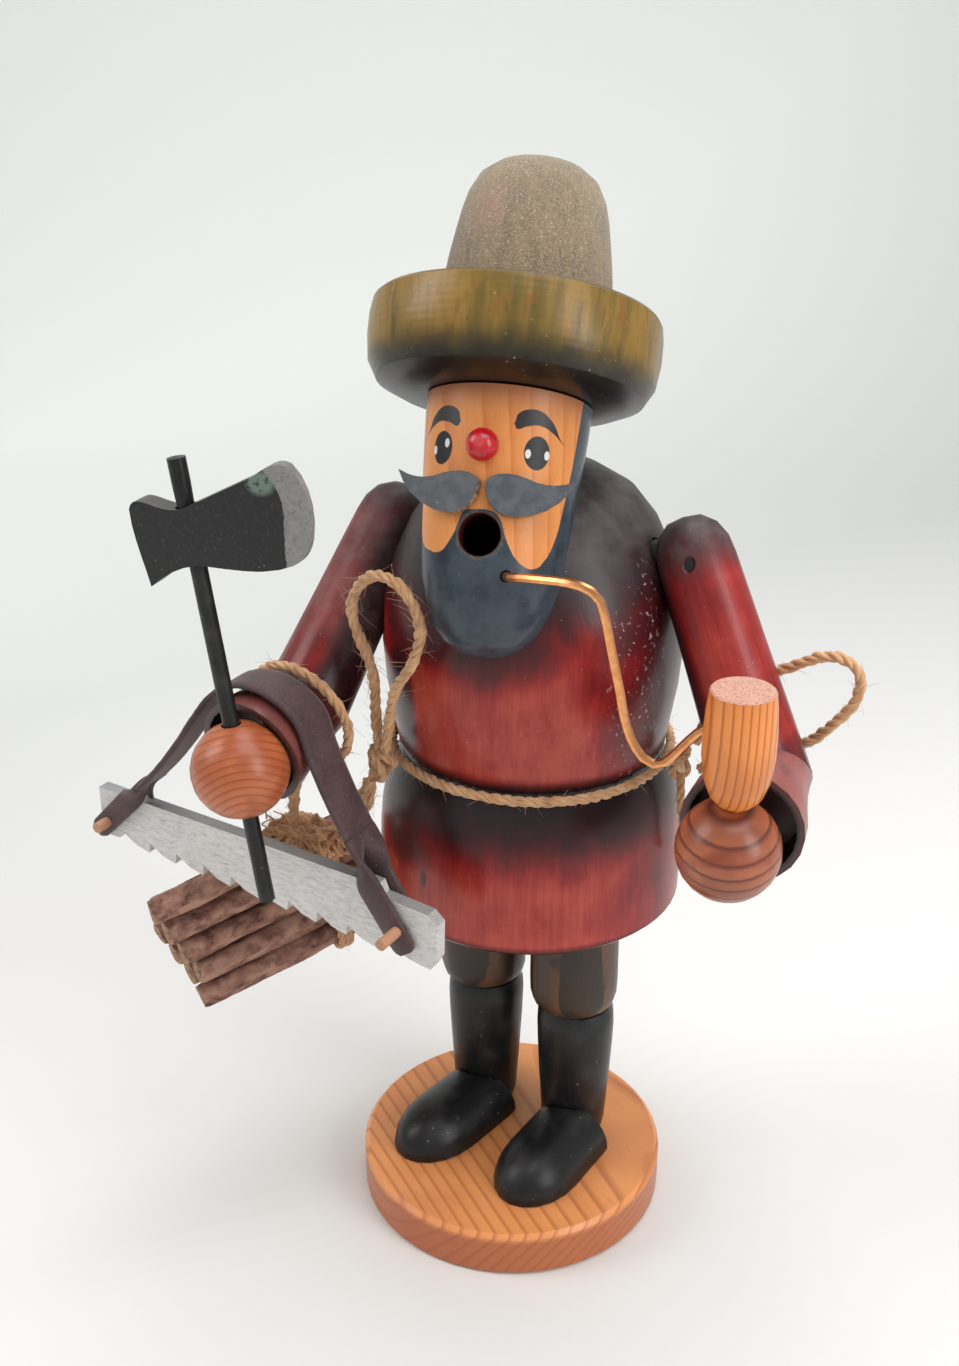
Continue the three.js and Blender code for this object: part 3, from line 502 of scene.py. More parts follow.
# ---- the painted face -------------------------------------------------------------------------
SLATE, SLATE_DARK = (0.052, 0.070, 0.090), (0.034, 0.046, 0.060)
BEARD_EDGE = [(-90, 2), (-74, 2), (-72, -5), (-69.5, -15), (-67, -25), (-60, -29.4), (-48, -31),
              (-33, -31.4),
              (-24, -29.4), (-18, -26.6), (-14, -24), (-7, -23.5), (0, -23.4), (8, -23.6), (14, -24.8),
              (19, -27.8), (28, -31.4), (38, -33.1), (46, -33.2), (55, -31.2), (63, -27), (67.5, -20),
              (70.5, -9), (72.5, 2), (90, 2)]
BROW_TOP = [(15, -7.4), (19, -7.0), (20.5, -5.4), (26, -4.3), (34, -4.0), (45, -5.4), (61, -9.4),
            (70, -9.4)]
BROW_FOOT = [(15, -7.4), (19, -7.2), (21, -8.0), (28, -7.3), (37, -6.8), (47, -7.6), (61, -9.4), (70, -9.4)]


def face_paint():
    p = Paint("painted_face", 0.34, specular_ior_level=0.35)
    w = p.mm(HEAD_TOP, HEAD_AXES)
    x, y, h = p.xyz(w)
    angle = p.math("DEGREES", p.math("ARCTAN2", x, p.times(y, -1)))
    skin_ring = p.rings(p.mm((30, 46, 150), axes((0.12, 0.2, 1))), 3.4, 2.2)
    fine = p.fibres(w, 5, 0.14)
    skin = p.ramp(skin_ring, (0.0, (0.84, 0.335, 0.100)), (0.7, (0.78, 0.29, 0.080)),
                  (0.95, (0.70, 0.235, 0.062)))
    skin = p.over(skin, (0.46, 0.17, 0.07), p.step(fine, 0.5, 0.8), 0.5)
    # painted shadow of the hat brim: the skin darkens towards the top of the head
    skin = p.over(skin, (0.40, 0.15, 0.075), p.step(h, -6, 0), 0.75)
    # beard and sideburns
    wobble = p.linear(p.noise(w, 0.55, 2), 0.5, -0.25)
    edge = p.plus(p.curve(angle, BEARD_EDGE, (-90, 90), (-34, 3)), wobble)
    beard = p.step(p.math("SUBTRACT", edge, h), -0.12, 0.12)
    back = p.step(p.size(angle), 106, 108)
    slate = p.mix(SLATE, SLATE_DARK, p.step(p.noise(w, 0.22, 3), 0.4, 0.65))
    slate = p.over(slate, (0.33, 0.33, 0.34), p.specks(w, 1.0, 0.3, 0.16), 0.55)
    color = p.mix(skin, slate, p.math("MAXIMUM", beard, back))
    # eyebrows
    side = p.size(p.plus(angle, 2.3))
    over = p.curve(side, BROW_TOP, (15, 70), (-10, -3))
    under = p.curve(side, BROW_FOOT, (15, 70), (-10, -3))
    brow = p.times(p.step(p.math("SUBTRACT", over, h), -0.1, 0.1),
                   p.step(p.math("SUBTRACT", h, under), -0.1, 0.1),
                 p.step(side, 18.6, 19.2), p.step(side, 61, 60))
    color = p.mix(color, (0.035, 0.030, 0.032), brow)
    # eyes: black ovals, each with two white dots
    flat = p.node("CombineXYZ", {0: angle, 1: h}).outputs[0]
    for centre in (-36.5, 35.1):
        color = p.mix(color, (0.010, 0.010, 0.012), p.spot(flat, (centre, -11.9, 0), (9.6, 3.15, 1), 0.04))
    for a, b in ((-44.5, -12.2), (-31.9, -11.1), (28.5, -12.3), (42.8, -12.0)):
        color = p.mix(color, (0.78, 0.77, 0.75), p.spot(flat, (a, b, 0), (2.1, 0.85, 1), 0.12))
    # mouth
    flat_mouth = p.node("CombineXYZ", {0: x, 1: h}).outputs[0]
    front = p.step(y, -4, -6)
    ring = p.times(p.spot(flat_mouth, (0, MOUTH_H, 0), (MOUTH_R + 0.75, MOUTH_R + 0.75, 1), 0.05), front)
    color = p.over(color, (0.10, 0.10, 0.075), ring, p.step(p.noise(w, 1.8, 3), 0.4, 0.6))
    hole = p.times(p.spot(flat_mouth, (0, MOUTH_H, 0), (MOUTH_R + 0.1,) * 2 + (1,), 0.015),
                   p.step(y, 15, 14))
    # painted shade in the mouth's hole: near-black deep inside, redder near the opening
    hole_shade = p.mix((0.010, 0.004, 0.005), (0.085, 0.012, 0.012), p.step(y, -9.5, -13.5))
    color = p.mix(color, hole_shade, hole)
    p.bump(fine, 0.04, 0.4)
    p.bump(beard, 0.06, 0.5)
    return p.finish(color, p.linear(p.math("MAXIMUM", beard, back), -0.13, 0.35))


def moustache_paint():
    p = Paint("moustache_paint", 0.42)
    w = p.mm(HEAD_TOP, HEAD_AXES)
    turned_out = p.axis(p.node("TexCoord").outputs["Normal"], "Y")
    face = p.step(p.size(turned_out), 0.45, 0.6)
    slate = p.mix((0.105, 0.115, 0.13), (0.07, 0.078, 0.09), p.step(p.noise(w, 0.35, 3), 0.35, 0.65))
    slate = p.over(slate, (0.36, 0.36, 0.37), p.specks(w, 1.2, 0.35, 0.2), 0.6)
    edge = p.mix((0.42, 0.24, 0.13), (0.09, 0.09, 0.09), p.step(p.noise(w, 1.1, 2), 0.4, 0.6))
    p.bump(p.noise(w, 1.4, 3), 0.06, 0.5)
    return p.finish(p.mix(edge, slate, face))


def nose_paint():
    p = Paint("cherry_gloss", 0.24, coat_weight=0.2, coat_roughness=0.08)
    w = p.mm(HEAD_TOP, HEAD_AXES)
    # the lighter front tip is partly a worn bare spot, partly a painted highlight
    tip = p.spot(w, (-0.5, -20.9, -12.0), (1.0, 1.6, 1.1), 0.6)
    color = p.mix((0.52, 0.004, 0.012), (0.62, 0.07, 0.07), p.times(tip, 0.8))
    return p.finish(p.mix(color, (0.33, 0.01, 0.02), p.step(p.noise(w, 0.5, 2), 0.5, 0.7)))


# ---- hat --------------------------------------------------------------------------------------
def brim_stain():
    p = Paint("hat_brim_stain", 0.3, specular_ior_level=0.4)
    w = p.mm(HEAD_TOP, HEAD_AXES)
    x, y, h = p.xyz(w)
    round_it = p.math("ARCTAN2", x, p.times(y, -1))
    strip = p.node("CombineXYZ", {0: p.times(round_it, 29),
                                  1: p.times(h, 0.22)}).outputs[0]
    wide = p.noise(strip, 0.10, 3, distortion=0.9)
    thin = p.noise(strip, 0.55, 5)
    olive = p.ramp(p.plus(p.times(wide, 0.75), p.times(thin, 0.25)),
                   (0.30, (0.10, 0.068, 0.014)), (0.44, (0.17, 0.110, 0.022)), (0.56, (0.29, 0.165, 0.032)),
                   (0.70, (0.16, 0.095, 0.018)))
    olive = p.over(olive, (0.055, 0.036, 0.012), p.step(p.noise(strip, 0.30, 3), 0.56, 0.70), 0.55)
    # darker towards the bottom of the brim, olive higher up; noise wobbles the boundary
    edge_noise = p.linear(p.noise(w, 0.16, 4), 5, -2.5)
    level = p.plus(h, edge_noise)
    color = p.mix((0.045, 0.036, 0.018), olive, p.step(level, 3.5, 9.0))
    color = p.mix((0.006, 0.005, 0.004), color, p.step(level, 1.2, 4.6))
    rust = p.step(p.noise(w, 0.33, 3), 0.60, 0.68)
    color = p.over(color, (0.26, 0.085, 0.018), rust, p.step(h, 8, 12), 0.5)
    color = p.over(color, (0.05, 0.04, 0.02), p.step(h, 17.0, 17.9), 0.7)
    color = p.over(color, (0.45, 0.4, 0.3), p.specks(w, 1.4, 0.2, 0.2), 0.5)
    # a pale strip at the side edge: partly a chip in the paint, partly a painted highlight
    chip_and_highlight = p.times(p.step(x, 27.6, 28.0), p.step(p.size(p.plus(h, -11)), 7.5, 5),
                 p.step(p.size(y), 8.5, 6))
    color = p.mix(color, p.mix((0.36, 0.31, 0.24), (0.20, 0.17, 0.12), thin), p.times(chip_and_highlight, 0.85))
    p.bump(thin, 0.10, 0.4)
    p.bump(p.node("TexWave", {"Vector": w, "Scale": 0.2, "Distortion": 0.3},
                  bands_direction="Z").outputs[1],
           0.04, 0.35)
    return p.finish(color)


def crown_stain():
    """Olive-brown stain under a coat of dust."""
    p = Paint("hat_crown_dust", 0.85, sheen_weight=0.25, sheen_roughness=0.6)
    w = p.mm(HEAD_TOP, HEAD_AXES)
    under = p.ramp(p.fibres(w, 0.35, 0.05, 4), (0.32, (0.11, 0.075, 0.034)), (0.5, (0.22, 0.150, 0.072)),
                   (0.68, (0.14, 0.095, 0.045)))
    under = p.over(under, (0.36, 0.15, 0.10), p.spot(w, (-5, -14, 35), (4.5, 9, 5), 0.7), 0.45)
    dust = p.noise(w, 1.7, 6, rough=0.75)
    high = p.step(p.axis(w, "Z"), 14, 44)
    cover = p.plus(p.times(p.step(dust, 0.42, 0.66), 0.5), p.times(high, 0.20))
    under = p.over(under, (0.10, 0.082, 0.05), p.step(p.noise(w, 0.12, 3), 0.45, 0.65), 0.6)
    color = p.mix(under, (0.33, 0.25, 0.155), cover)
    lint = p.noise(w, 3.4, 2, (1, 1, 1), 0.8, 1.5)
    color = p.over(color, (0.72, 0.67, 0.57), p.step(lint, 0.60, 0.66), 0.85)
    p.bump(p.plus(dust, lint), 0.25, 0.5)
    return p.finish(color)


# ---- metal, saw, axe, strap, sticks, twine ----------------------------------------------------
def copper():
    p = Paint("copper_wire", 0.28, metallic=1.0)
    return p.finish(p.ramp(p.noise(p.where, 0.7, 3), (0.35, (0.90, 0.44, 0.19)), (0.7, (0.72, 0.29, 0.11))))


def axe_paint():
    across = Vector((0.985, 0.17, 0)).normalized()
    fist = Vector(HAND_RIGHT)
    eye = fist + Vector(HANDLE_AIM).normalized() * 50.4
    p = Paint("axe_black", 0.42)
    w = p.mm(eye, axes((0, 0, 1), across))
    a, h = p.axis(w, "X"), p.axis(w, "Z")
    high = p.math("MAXIMUM", p.math("SUBTRACT", h, 5), 0)
    line = p.linear(p.times(high, high), -0.055, 20.6)
    edge = p.step(p.math("SUBTRACT", p.plus(a,
                                            p.linear(p.noise(w, 0.6, 2), 0.8, -0.4)), line),
                  -0.15, 0.15)
    wear = p.noise(w, 1.2, 5, rough=0.7)
    black = p.mix((0.010, 0.010, 0.011), (0.034, 0.033, 0.034), p.step(wear, 0.5, 0.75))
    black = p.over(black, (0.25, 0.25, 0.26), p.specks(w, 1.1, 0.25, 0.2), 0.6)
    silver = p.mix((0.27, 0.262, 0.255), (0.17, 0.168, 0.165), p.step(wear, 0.40, 0.72))
    color = p.mix(black, silver, edge)
    facing = p.size(p.axis(p.node("TexCoord").outputs["Normal"], "Z"))
    color = p.over(color, (0.12, 0.115, 0.11), p.step(facing, 0.5, 0.8), 0.6)
    green = p.times(p.spot(w, (16.4, 0, 10.6), (2.7, 6, 2.3), 0.3), p.step(p.noise(w, 0.9, 4), 0.34, 0.5))
    color = p.over(color, (0.17, 0.25, 0.19), green, 0.85)
    p.bump(wear, 0.12, 0.6)
    return p.finish(color)


def saw_paint():
    p = Paint("saw_silver", 0.46, metallic=0.25)
    w = p.mm((-40, SAW_Y, 92), axes((0, 1, 0), (1, 0, -0.03)))
    grain = p.noise(w, 1, 5, (0.30, 1.5, 0.6), 0.7, 0.5)
    brush = p.noise(w, 1, 3, (0.9, 2.4, 1))
    color = p.ramp(p.plus(p.times(grain, 0.6), p.times(brush, 0.4)),
                   (0.30, (0.44, 0.43, 0.42)), (0.5, (0.74, 0.725, 0.71)), (0.68, (0.86, 0.845, 0.82)))
    facing = p.axis(p.node("TexCoord").outputs["Normal"], "Z")
    color = p.over(color, (0.22, 0.225, 0.225), p.step(facing, 0.5, 0.9), 0.75)
    p.bump(grain, 0.5, 0.8)
    p.bump(brush, 0.12, 0.6)
    return p.finish(color)


def leather():
    p = Paint("leather_strap", 0.62, sheen_weight=0.15)
    w = p.where
    grain = p.noise(w, 2.2, 5, (1, 0.5, 1), 0.7)
    cloud = p.noise(w, 0.15, 3)
    color = p.ramp(p.plus(p.times(grain, 0.5), p.times(cloud, 0.5)),
                   (0.32, (0.115, 0.060, 0.058)), (0.5, (0.068, 0.034, 0.034)),
                   (0.7, (0.030, 0.015, 0.017)))
    color = p.over(color, (0.33, 0.24, 0.23), p.specks(w, 1.3, 0.3, 0.2), 0.5)
    p.bump(grain, 0.18, 0.7)
    return p.finish(color)


def bark(index):
    turn = random.Random(index)
    p = Paint(f"bark_{index}", 0.85)
    uv = p.node("UVMap", uv_map="lay").outputs[0]
    w = p.node("VectorMath", {0: uv, 1: (turn.uniform(0, 50), turn.uniform(0, 9), 0)},
               operation="ADD").outputs[0]
    ridge = p.noise(w, 1, 5, (0.16, 1.1, 1), 0.65, 0.4)
    cross = p.noise(w, 1, 2, (1.6, 0.3, 1))
    tone = turn.uniform(-0.06, 0.06)
    color = p.ramp(ridge, (0.34 + tone, (0.065, 0.030, 0.021)), (0.48 + tone, (0.26, 0.125, 0.092)),
                   (0.62 + tone, (0.44, 0.25, 0.18)))
    color = p.over(color, (0.50, 0.30, 0.19), p.step(ridge, 0.62, 0.73), 0.6)
    p.bump(ridge, 0.7, 0.9)
    p.bump(cross, 0.1, 0.5)
    return p.finish(color)


def cut_end(centre, direction):
    p = Paint("cut_end", 0.8)
    w = p.mm(centre, axes(direction))
    ring = p.rings(w, 0.8, 1.2, "SIN")
    color = p.mix((0.50, 0.30, 0.17), (0.30, 0.15, 0.08), ring)
    return p.finish(p.mix(color, (0.14, 0.075, 0.05), p.step(p.noise(w, 0.9, 3), 0.48, 0.62)))


def jute():
    """Fibres run along the ply, in the mesh's lay coordinates (millimetres along, turns around)."""
    p = Paint("jute_twine", 0.82, sheen_weight=0.35, sheen_roughness=0.5)
    uv = p.node("UVMap", uv_map="lay").outputs[0]
    fibre = p.noise(uv, 1, 3, (0.5, 9, 1))
    tone = p.noise(p.where, 0.16, 2)
    color = p.ramp(p.plus(p.times(fibre, 0.6), p.times(tone, 0.4)),
                   (0.30, (0.33, 0.155, 0.066)), (0.48, (0.60, 0.33, 0.155)), (0.68, (0.80, 0.51, 0.29)))
    p.bump(fibre, 0.12, 0.9)
    return p.finish(color)


# ---- smooth shading of the faceted CAD nodes --------------------------------------------------
def round_shading(name, angle=32, profile=None, origin=None, direction=UP, egg=None):
    """Custom normals: from the turned outline [(radius, height), ...] or the ellipsoid (centre,
    half-sizes, degrees about Z) where one is given, and averaged over the neighbouring faces
    within `angle` elsewhere."""
    mesh = NODES[name].data
    co = np.array([v.co for v in mesh.vertices])
    spots, same = {}, []
    for i, p in enumerate(co):
        same.append(spots.setdefault(tuple(np.round(p * 1e5)), i))
    corner = np.array([same[loop.vertex_index] for loop in mesh.loops])
    faces = [(p.loop_start, p.loop_total, np.array(p.normal)) for p in mesh.polygons]
    around = [[] for _ in mesh.vertices]
    weights = np.zeros(len(corner))
    owner = np.zeros(len(corner), int)
    for f, (start, total, _) in enumerate(faces):
        for k in range(start, start + total):
            a = co[corner[start + (k - start - 1) % total]] - co[corner[k]]
            b = co[corner[start + (k - start + 1) % total]] - co[corner[k]]
            size = np.linalg.norm(a) * np.linalg.norm(b) or 1
            weights[k] = math.acos(max(-1, min(1, a @ b / size)))
            owner[k] = f
            around[corner[k]].append(k)
    face_normal = np.array([f[2] for f in faces])
    limit = math.cos(math.radians(angle))
    normals = np.zeros((len(corner), 3))
    turn = np.array(axes(direction)) if profile else None
    if profile:
        outline = np.array(profile, float)
        middle = np.array(at(*origin)) * 1000
    for k, v in enumerate(corner):
        mine = face_normal[owner[k]]
        found = None
        if profile:
            local = turn.T @ (co[v] * 1000 - middle)
            radius = math.hypot(local[0], local[1])
            a, b = outline[:-1], outline[1:]
            span = b - a
            t = ((np.array([radius, local[2]]) - a) * span).sum(1) / np.maximum((span ** 2).sum(1), 1e-9)
            t = np.clip(t, 0, 1)
            off = np.hypot(*(a + span * t[:, None] - (radius, local[2])).T)
            if off.min() < 0.35 and radius > 0.5:
                bends = []
                for i in np.where(off < 0.36)[0]:
                    n = np.array([span[i][1], -span[i][0]]) / math.hypot(*span[i])
                    slope = turn @ np.array([n[0] * local[0] / radius, n[0] * local[1] / radius, n[1]])
                    if slope @ mine > math.cos(math.radians(30)):
                        bends.append(slope * (1.0 if off[i] < 0.05 else 0.3))
                if bends:
                    found = np.sum(bends, 0)
        if egg:
            centre, sizes, degrees = egg
            spin = np.array(Matrix.Rotation(math.radians(degrees), 3, "Z"))
            local = spin.T @ (co[v] * 1000 - np.array(at(*centre)) * 1000) / sizes
            if name.startswith("shoe"):  # straight behind the middle of its toe cap
                local[1] = min(local[1], 0)
            slope = spin @ (local / sizes)
            slope /= np.linalg.norm(slope) or 1
            if abs(np.linalg.norm(local) - 1) < 0.02 and slope @ mine > 0.84:
                found = slope
        if found is None:
            near = [j for j in around[v] if face_normal[owner[j]] @ mine > limit]
            found = (face_normal[owner[near]] * weights[near, None]).sum(0)
        normals[k] = found / (np.linalg.norm(found) or 1)
    for p in mesh.polygons:
        p.use_smooth = True
    mesh.normals_split_custom_set([tuple(n) for n in normals])


TORSO = [(28.6, 111.2), (29.2, 112.6), (30.2, 119), (31.5, 127), (32.2, 136), (31.6, 145.5), (29.4, 154),
         (25.6, 162.2), (21, 168), (14, 172.3), (6, 174.4), (0, 174.6)]
SKIRT = [(33, 76.2), (33.8, 77), (33.9, 84), (33.7, 91), (33.2, 97), (32.4, 102), (31.2, 105.8),
         (29.9, 108.6),
         (29.1, 110), (28.6, 110.9)]
HEAD = [(0, -50), (4.2, -49.5), (7.8, -47.6), (10.6, -44.4), (12.5, -40.4), (13.8, -35.4), (14.4, -29),
        (14.9, -21), (15.6, -12.5), (16.1, -4), (16.25, 0)]
BRIM = [(16.8, 0.3), (22.6, 0.6), (26.4, 2.3), (28.3, 5.6), (28.9, 10.2), (28.9, 14.4), (28.5, 17.2),
        (27.8, 17.9),
        (26.8, 17.2), (26.4, 13.6), (24.8, 10.2), (21.8, 7.4), (18.6, 6.5)]
CROWN = [(17.2, 6.8), (17, 20), (16.1, 28), (15.3, 33), (14.6, 37), (13.7, 40.6), (12, 44), (9.2, 46.3),
         (5, 47.6), (0, 48)]


def shade_all():
    body = (*AXIS, 0)
    brim = tuple(Vector(HEAD_TOP) - ASIDE * 0.3)
    crown = tuple(Vector(HEAD_TOP) + ASIDE * 1.1)
    turned = {"upper_body": (TORSO, body, UP), "lower_body": (SKIRT, body, UP),
              "head": (HEAD, HEAD_TOP, TALL),
              "hat_brim": (BRIM, brim, TALL), "hat_crown": (CROWN, crown, TALL)}
    x, y = AXIS
    eggs = {"shoe_right": ((x - 12.4, y - 19.4, 11.2), (9.6, 13.4, 9.3), -9),
            "shoe_left": ((x + 14.7, y - 19.9, 11.2), (9.6, 13.4, 9.3), -3),
            "hand_right": (HAND_RIGHT, (10, 10, 10), 0), "hand_left": (HAND_LEFT, (10, 10, 10), 0),
            "nose": (tuple(Vector(HEAD_TOP) + HEAD_AXES @ Vector((-0.5, -17.7, -11.9))), (3.15,) * 3, 0)}
    sharp = {"axe_head": 22, "saw_blade": 20, "base_disc": 28, "saw_strap": 25}
    for name in NODES:
        if name in turned:
            profile, origin, direction = turned[name]
            round_shading(name, 30, profile, origin, direction)
        else:
            round_shading(name, sharp.get(name, 34), egg=eggs.get(name))


# ---- twine ------------------------------------------------------------------------------------
def smooth_path(points, count, closed=False):
    """Centripetal Catmull-Rom through the points, in millimetres."""
    p = [np.array(q, float) for q in points]
    ends = (p[-1], p[0], p[1]) if closed else (2 * p[0] - p[1], 2 * p[-1] - p[-2], None)
    line = [ends[0]] + p + [ends[1]] + ([ends[2]] if closed else [])
    pieces = len(line) - 3
    out = []
    for n in range(count + (0 if closed else 1)):
        u = min(n * pieces / count, pieces - 1e-9)
        i, u = int(u), u - int(u)
        a, b, c, d = line[i:i + 4]
        t1 = np.linalg.norm(b - a) ** 0.5 + 1e-9
        t2 = t1 + np.linalg.norm(c - b) ** 0.5 + 1e-9
        t3 = t2 + np.linalg.norm(d - c) ** 0.5 + 1e-9
        t = t1 + u * (t2 - t1)
        ab = (a * (t1 - t) + b * t) / t1
        bc = (b * (t2 - t) + c * (t - t1)) / (t2 - t1)
        cd = (c * (t3 - t) + d * (t - t2)) / (t3 - t2)
        abc = (ab * (t2 - t) + bc * t) / t2
        bcd = (bc * (t3 - t) + cd * (t - t1)) / (t3 - t1)
        out.append((abc * (t2 - t) + bcd * (t - t1)) / (t2 - t1))
    return np.array(out)


def resample(line, spacing):
    steps = np.linalg.norm(np.diff(line, axis=0), axis=1)
    run = np.concatenate(([0], np.cumsum(steps)))
    count = max(2, int(round(run[-1] / spacing)))
    want = np.linspace(0, run[-1], count + 1)
    return np.stack([np.interp(want, run, line[:, k]) for k in range(3)], 1)


def carried_frames(line):
    """Unit tangents and a normal and binormal carried along the line without twist."""
    tangent = np.gradient(line, axis=0)
    tangent /= np.linalg.norm(tangent, axis=1)[:, None]
    n = np.cross(tangent[0], (0.3, 0.2, 0.9))
    normals = []
    for t in tangent:
        n = n - t * (n @ t)
        n = n / np.linalg.norm(n)
        normals.append(n)
    normals = np.array(normals)
    return tangent, normals, np.cross(tangent, normals)


class Build:
    """Faces gathered into one mesh, with lay coordinates (length along, turns round)."""

    def __init__(self):
        self.co, self.faces, self.uv = [], [], []

    def tube(self, line, radius, sides=6, closed_ends=True, lumps=0.0, seed=0):
        chance = random.Random(seed)
        line = np.asarray(line, float)
        radius = np.full(len(line), radius, float) if np.isscalar(radius) else np.asarray(radius, float)
        _, n, b = carried_frames(line)
        first = len(self.co)
        run = np.concatenate(([0], np.cumsum(np.linalg.norm(np.diff(line, axis=0), axis=1))))
        for i, p in enumerate(line):
            for k in range(sides):
                a = 2 * math.pi * k / sides
                r = radius[i] * (1 + lumps * chance.uniform(-1, 1))
                self.co.append(p + (n[i] * math.cos(a) + b[i] * math.sin(a)) * r)
        self.skin(first, run, sides, 1 / sides)
        if closed_ends:
            self.caps(first, len(line), sides)
            for end in (0, run[-1]):
                self.uv.append(tuple((end + 0.2 * math.cos(2 * math.pi * k / sides),
                                      0.2 * math.sin(2 * math.pi * k / sides)) for k in range(sides)))

    def skin(self, first, run, sides, around):
        """Faces between rings of corners; `run` is each ring's place along, `around` a side's width."""
        for i in range(len(run) - 1):
            for k in range(sides):
                a, c = first + i * sides + k, first + i * sides + (k + 1) % sides
                self.faces.append((a, c, c + sides, a + sides))
                self.uv.append(((run[i], k * around), (run[i], (k + 1) * around),
                                (run[i + 1], (k + 1) * around), (run[i + 1], k * around)))

    def caps(self, first, rings, sides):
        last = first + (rings - 1) * sides
        self.faces.append(tuple(first + k for k in reversed(range(sides))))
        self.faces.append(tuple(last + k for k in range(sides)))

    def piece(self, name, material, body, nodes=(), slot=None):
        mesh = bpy.data.meshes.new(name)
        mesh.from_pydata([at(*p) for p in self.co], [], self.faces)
        lay = mesh.uv_layers.new(name="lay")
        lay.data.foreach_set("uv", [c for face in self.uv for pair in face for c in pair])
        mesh.polygons.foreach_set("use_smooth", [True] * len(mesh.polygons))
        made = bpy.data.objects.new(name, mesh)
        bpy.context.collection.objects.link(made)
        mesh.materials.append(material)
        if nodes:
            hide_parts(*nodes)
        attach(made, body)
        return made


def twine(build, line, radius=TWINE_R, plies=3, pitch=7.5, spacing=0.5, seed=0, fray=0.0):
    """Plies laid round a line; `fray` opens them out towards the end."""
    line = resample(np.asarray(line, float), spacing)
    _, n, b = carried_frames(line)
    run = np.arange(len(line)) * spacing
    share = run / run[-1]
    ply = radius * 0.56
    chance = random.Random(seed)
    for k in range(plies):
        wave = [chance.uniform(0, 6.28) for _ in range(3)]
        turn = 2 * math.pi * (run / pitch + k / plies)
        open_out = 1 + fray * np.clip((share - 0.75) / 0.25, 0, 1) ** 2
        out = radius * 0.46 * open_out * (1 + 0.08 * np.sin(run * 1.1 + wave[0]))
        strand = line + (n * np.cos(turn)[:, None] + b * np.sin(turn)[:, None]) * out[:, None]
        thick = ply * (1 + 0.12 * np.sin(run * 0.7 + wave[1]) + 0.07 * np.sin(run * 2.1 + wave[2]))
        build.tube(strand, thick, 6, True, 0.07, seed + k)


def hairs(build, line, count, length=(1.5, 5), seed=0, thick=0.06, radius=TWINE_R, droop=0.5):
    """Loose fibres that leave the twine sideways and curl."""
    chance = random.Random(seed)
    line = resample(np.asarray(line, float), 0.5)
    tangent, n, b = carried_frames(line)
    for _ in range(count):
        i = chance.randrange(1, len(line) - 1)
        a = chance.uniform(0, 2 * math.pi)
        away = n[i] * math.cos(a) + b[i] * math.sin(a)
        heading = away + tangent[i] * chance.choice((-1, 1)) * chance.uniform(0.5, 1.8)
        heading /= np.linalg.norm(heading)
        bend = np.array([chance.gauss(0, 1) for _ in range(3)])
        size = chance.uniform(*length) * chance.uniform(0.5, 1)
        start = line[i] + away * radius * 0.55
        steps = 6
        points = []
        for s in range(steps + 1):
            t = s / steps
            points.append(start + heading * size * t + bend * 0.22 * size * t * t
                          + np.array((0, 0, -droop * 0.25 * size * t * t)))
        build.tube(points, np.linspace(thick, thick * 0.35, steps + 1), 3, False)


def knot_line(centre, size, aim):
    """A trefoil pulled tight, its loops lying in the plane across `aim`."""
    m = np.array(axes(aim))
    t = np.linspace(0, 2 * math.pi, 48)
    x = (np.sin(t) + 2 * np.sin(2 * t)) / 3
    y = (np.cos(t) - 2 * np.cos(2 * t)) / 3
    z = -np.sin(3 * t)
    sx, sy, sz = size
    return np.array(centre) + (m @ np.stack([x * sx, y * sy, z * sz])).T


BOW = [(-20.9, -19.6, 117.4), (-21.1, -20, 124.8), (-20.6, -21, 133.3), (-21.1, -22.4, 139.1),
       (-22.6, -23.6, 144.2),
       (-23.1, -24.4, 149.6), (-20.9, -25.2, 154.5), (-16.2, -26, 158.2), (-11.1, -26, 157.5),
       (-7.2, -26, 153.3),
       (-5.9, -26, 148.6), (-8.6, -25, 140.9), (-13.3, -24, 133.8), (-16.3, -22, 126.1), (-18, -21, 119.4),
       (-18.2, -20.8, 117.4)]
REAR_LOOP = [(34.6, 17.6, 116.2), (36.4, 20.6, 121.6), (40.4, 21.6, 127.6), (45, 21, 132),
             (49.5, 20.2, 134.7),
             (55.1, 20, 138.1), (59.6, 20, 140.6), (64.2, 20, 141), (67.5, 20, 138.2), (67.2, 20, 132.7),
             (62.9, 20.2, 126.2), (58.6, 20.6, 121.5), (50, 21.6, 116), (43, 21, 113), (38.4, 19.4, 111.6),
             (36, 17.2, 110.4)]
CORD_R = 1.2


def make_cords(material):
    """The bow on the chest and the loop behind the left arm, each tied at both ends."""
    for name, points, node, seed, reach in (("bow", BOW, "bow_twine", 11, (1.2, 7)),
                                            ("rear_loop", REAR_LOOP, "rear_loop_twine", 23, (1, 4))):
        line = resample(smooth_path(points, 160), 0.8)
        rope, loose = Build(), Build()
        twine(rope, line, CORD_R, seed=seed, spacing=0.5)
        hairs(loose, line, 190 if name == "bow" else 110, reach, seed, droop=0.3)
        cord = rope.piece(name, material, "upper", [node], "jute_twine")
        fuzz = loose.piece(name + "_hairs", material, "upper", (), "jute_twine")


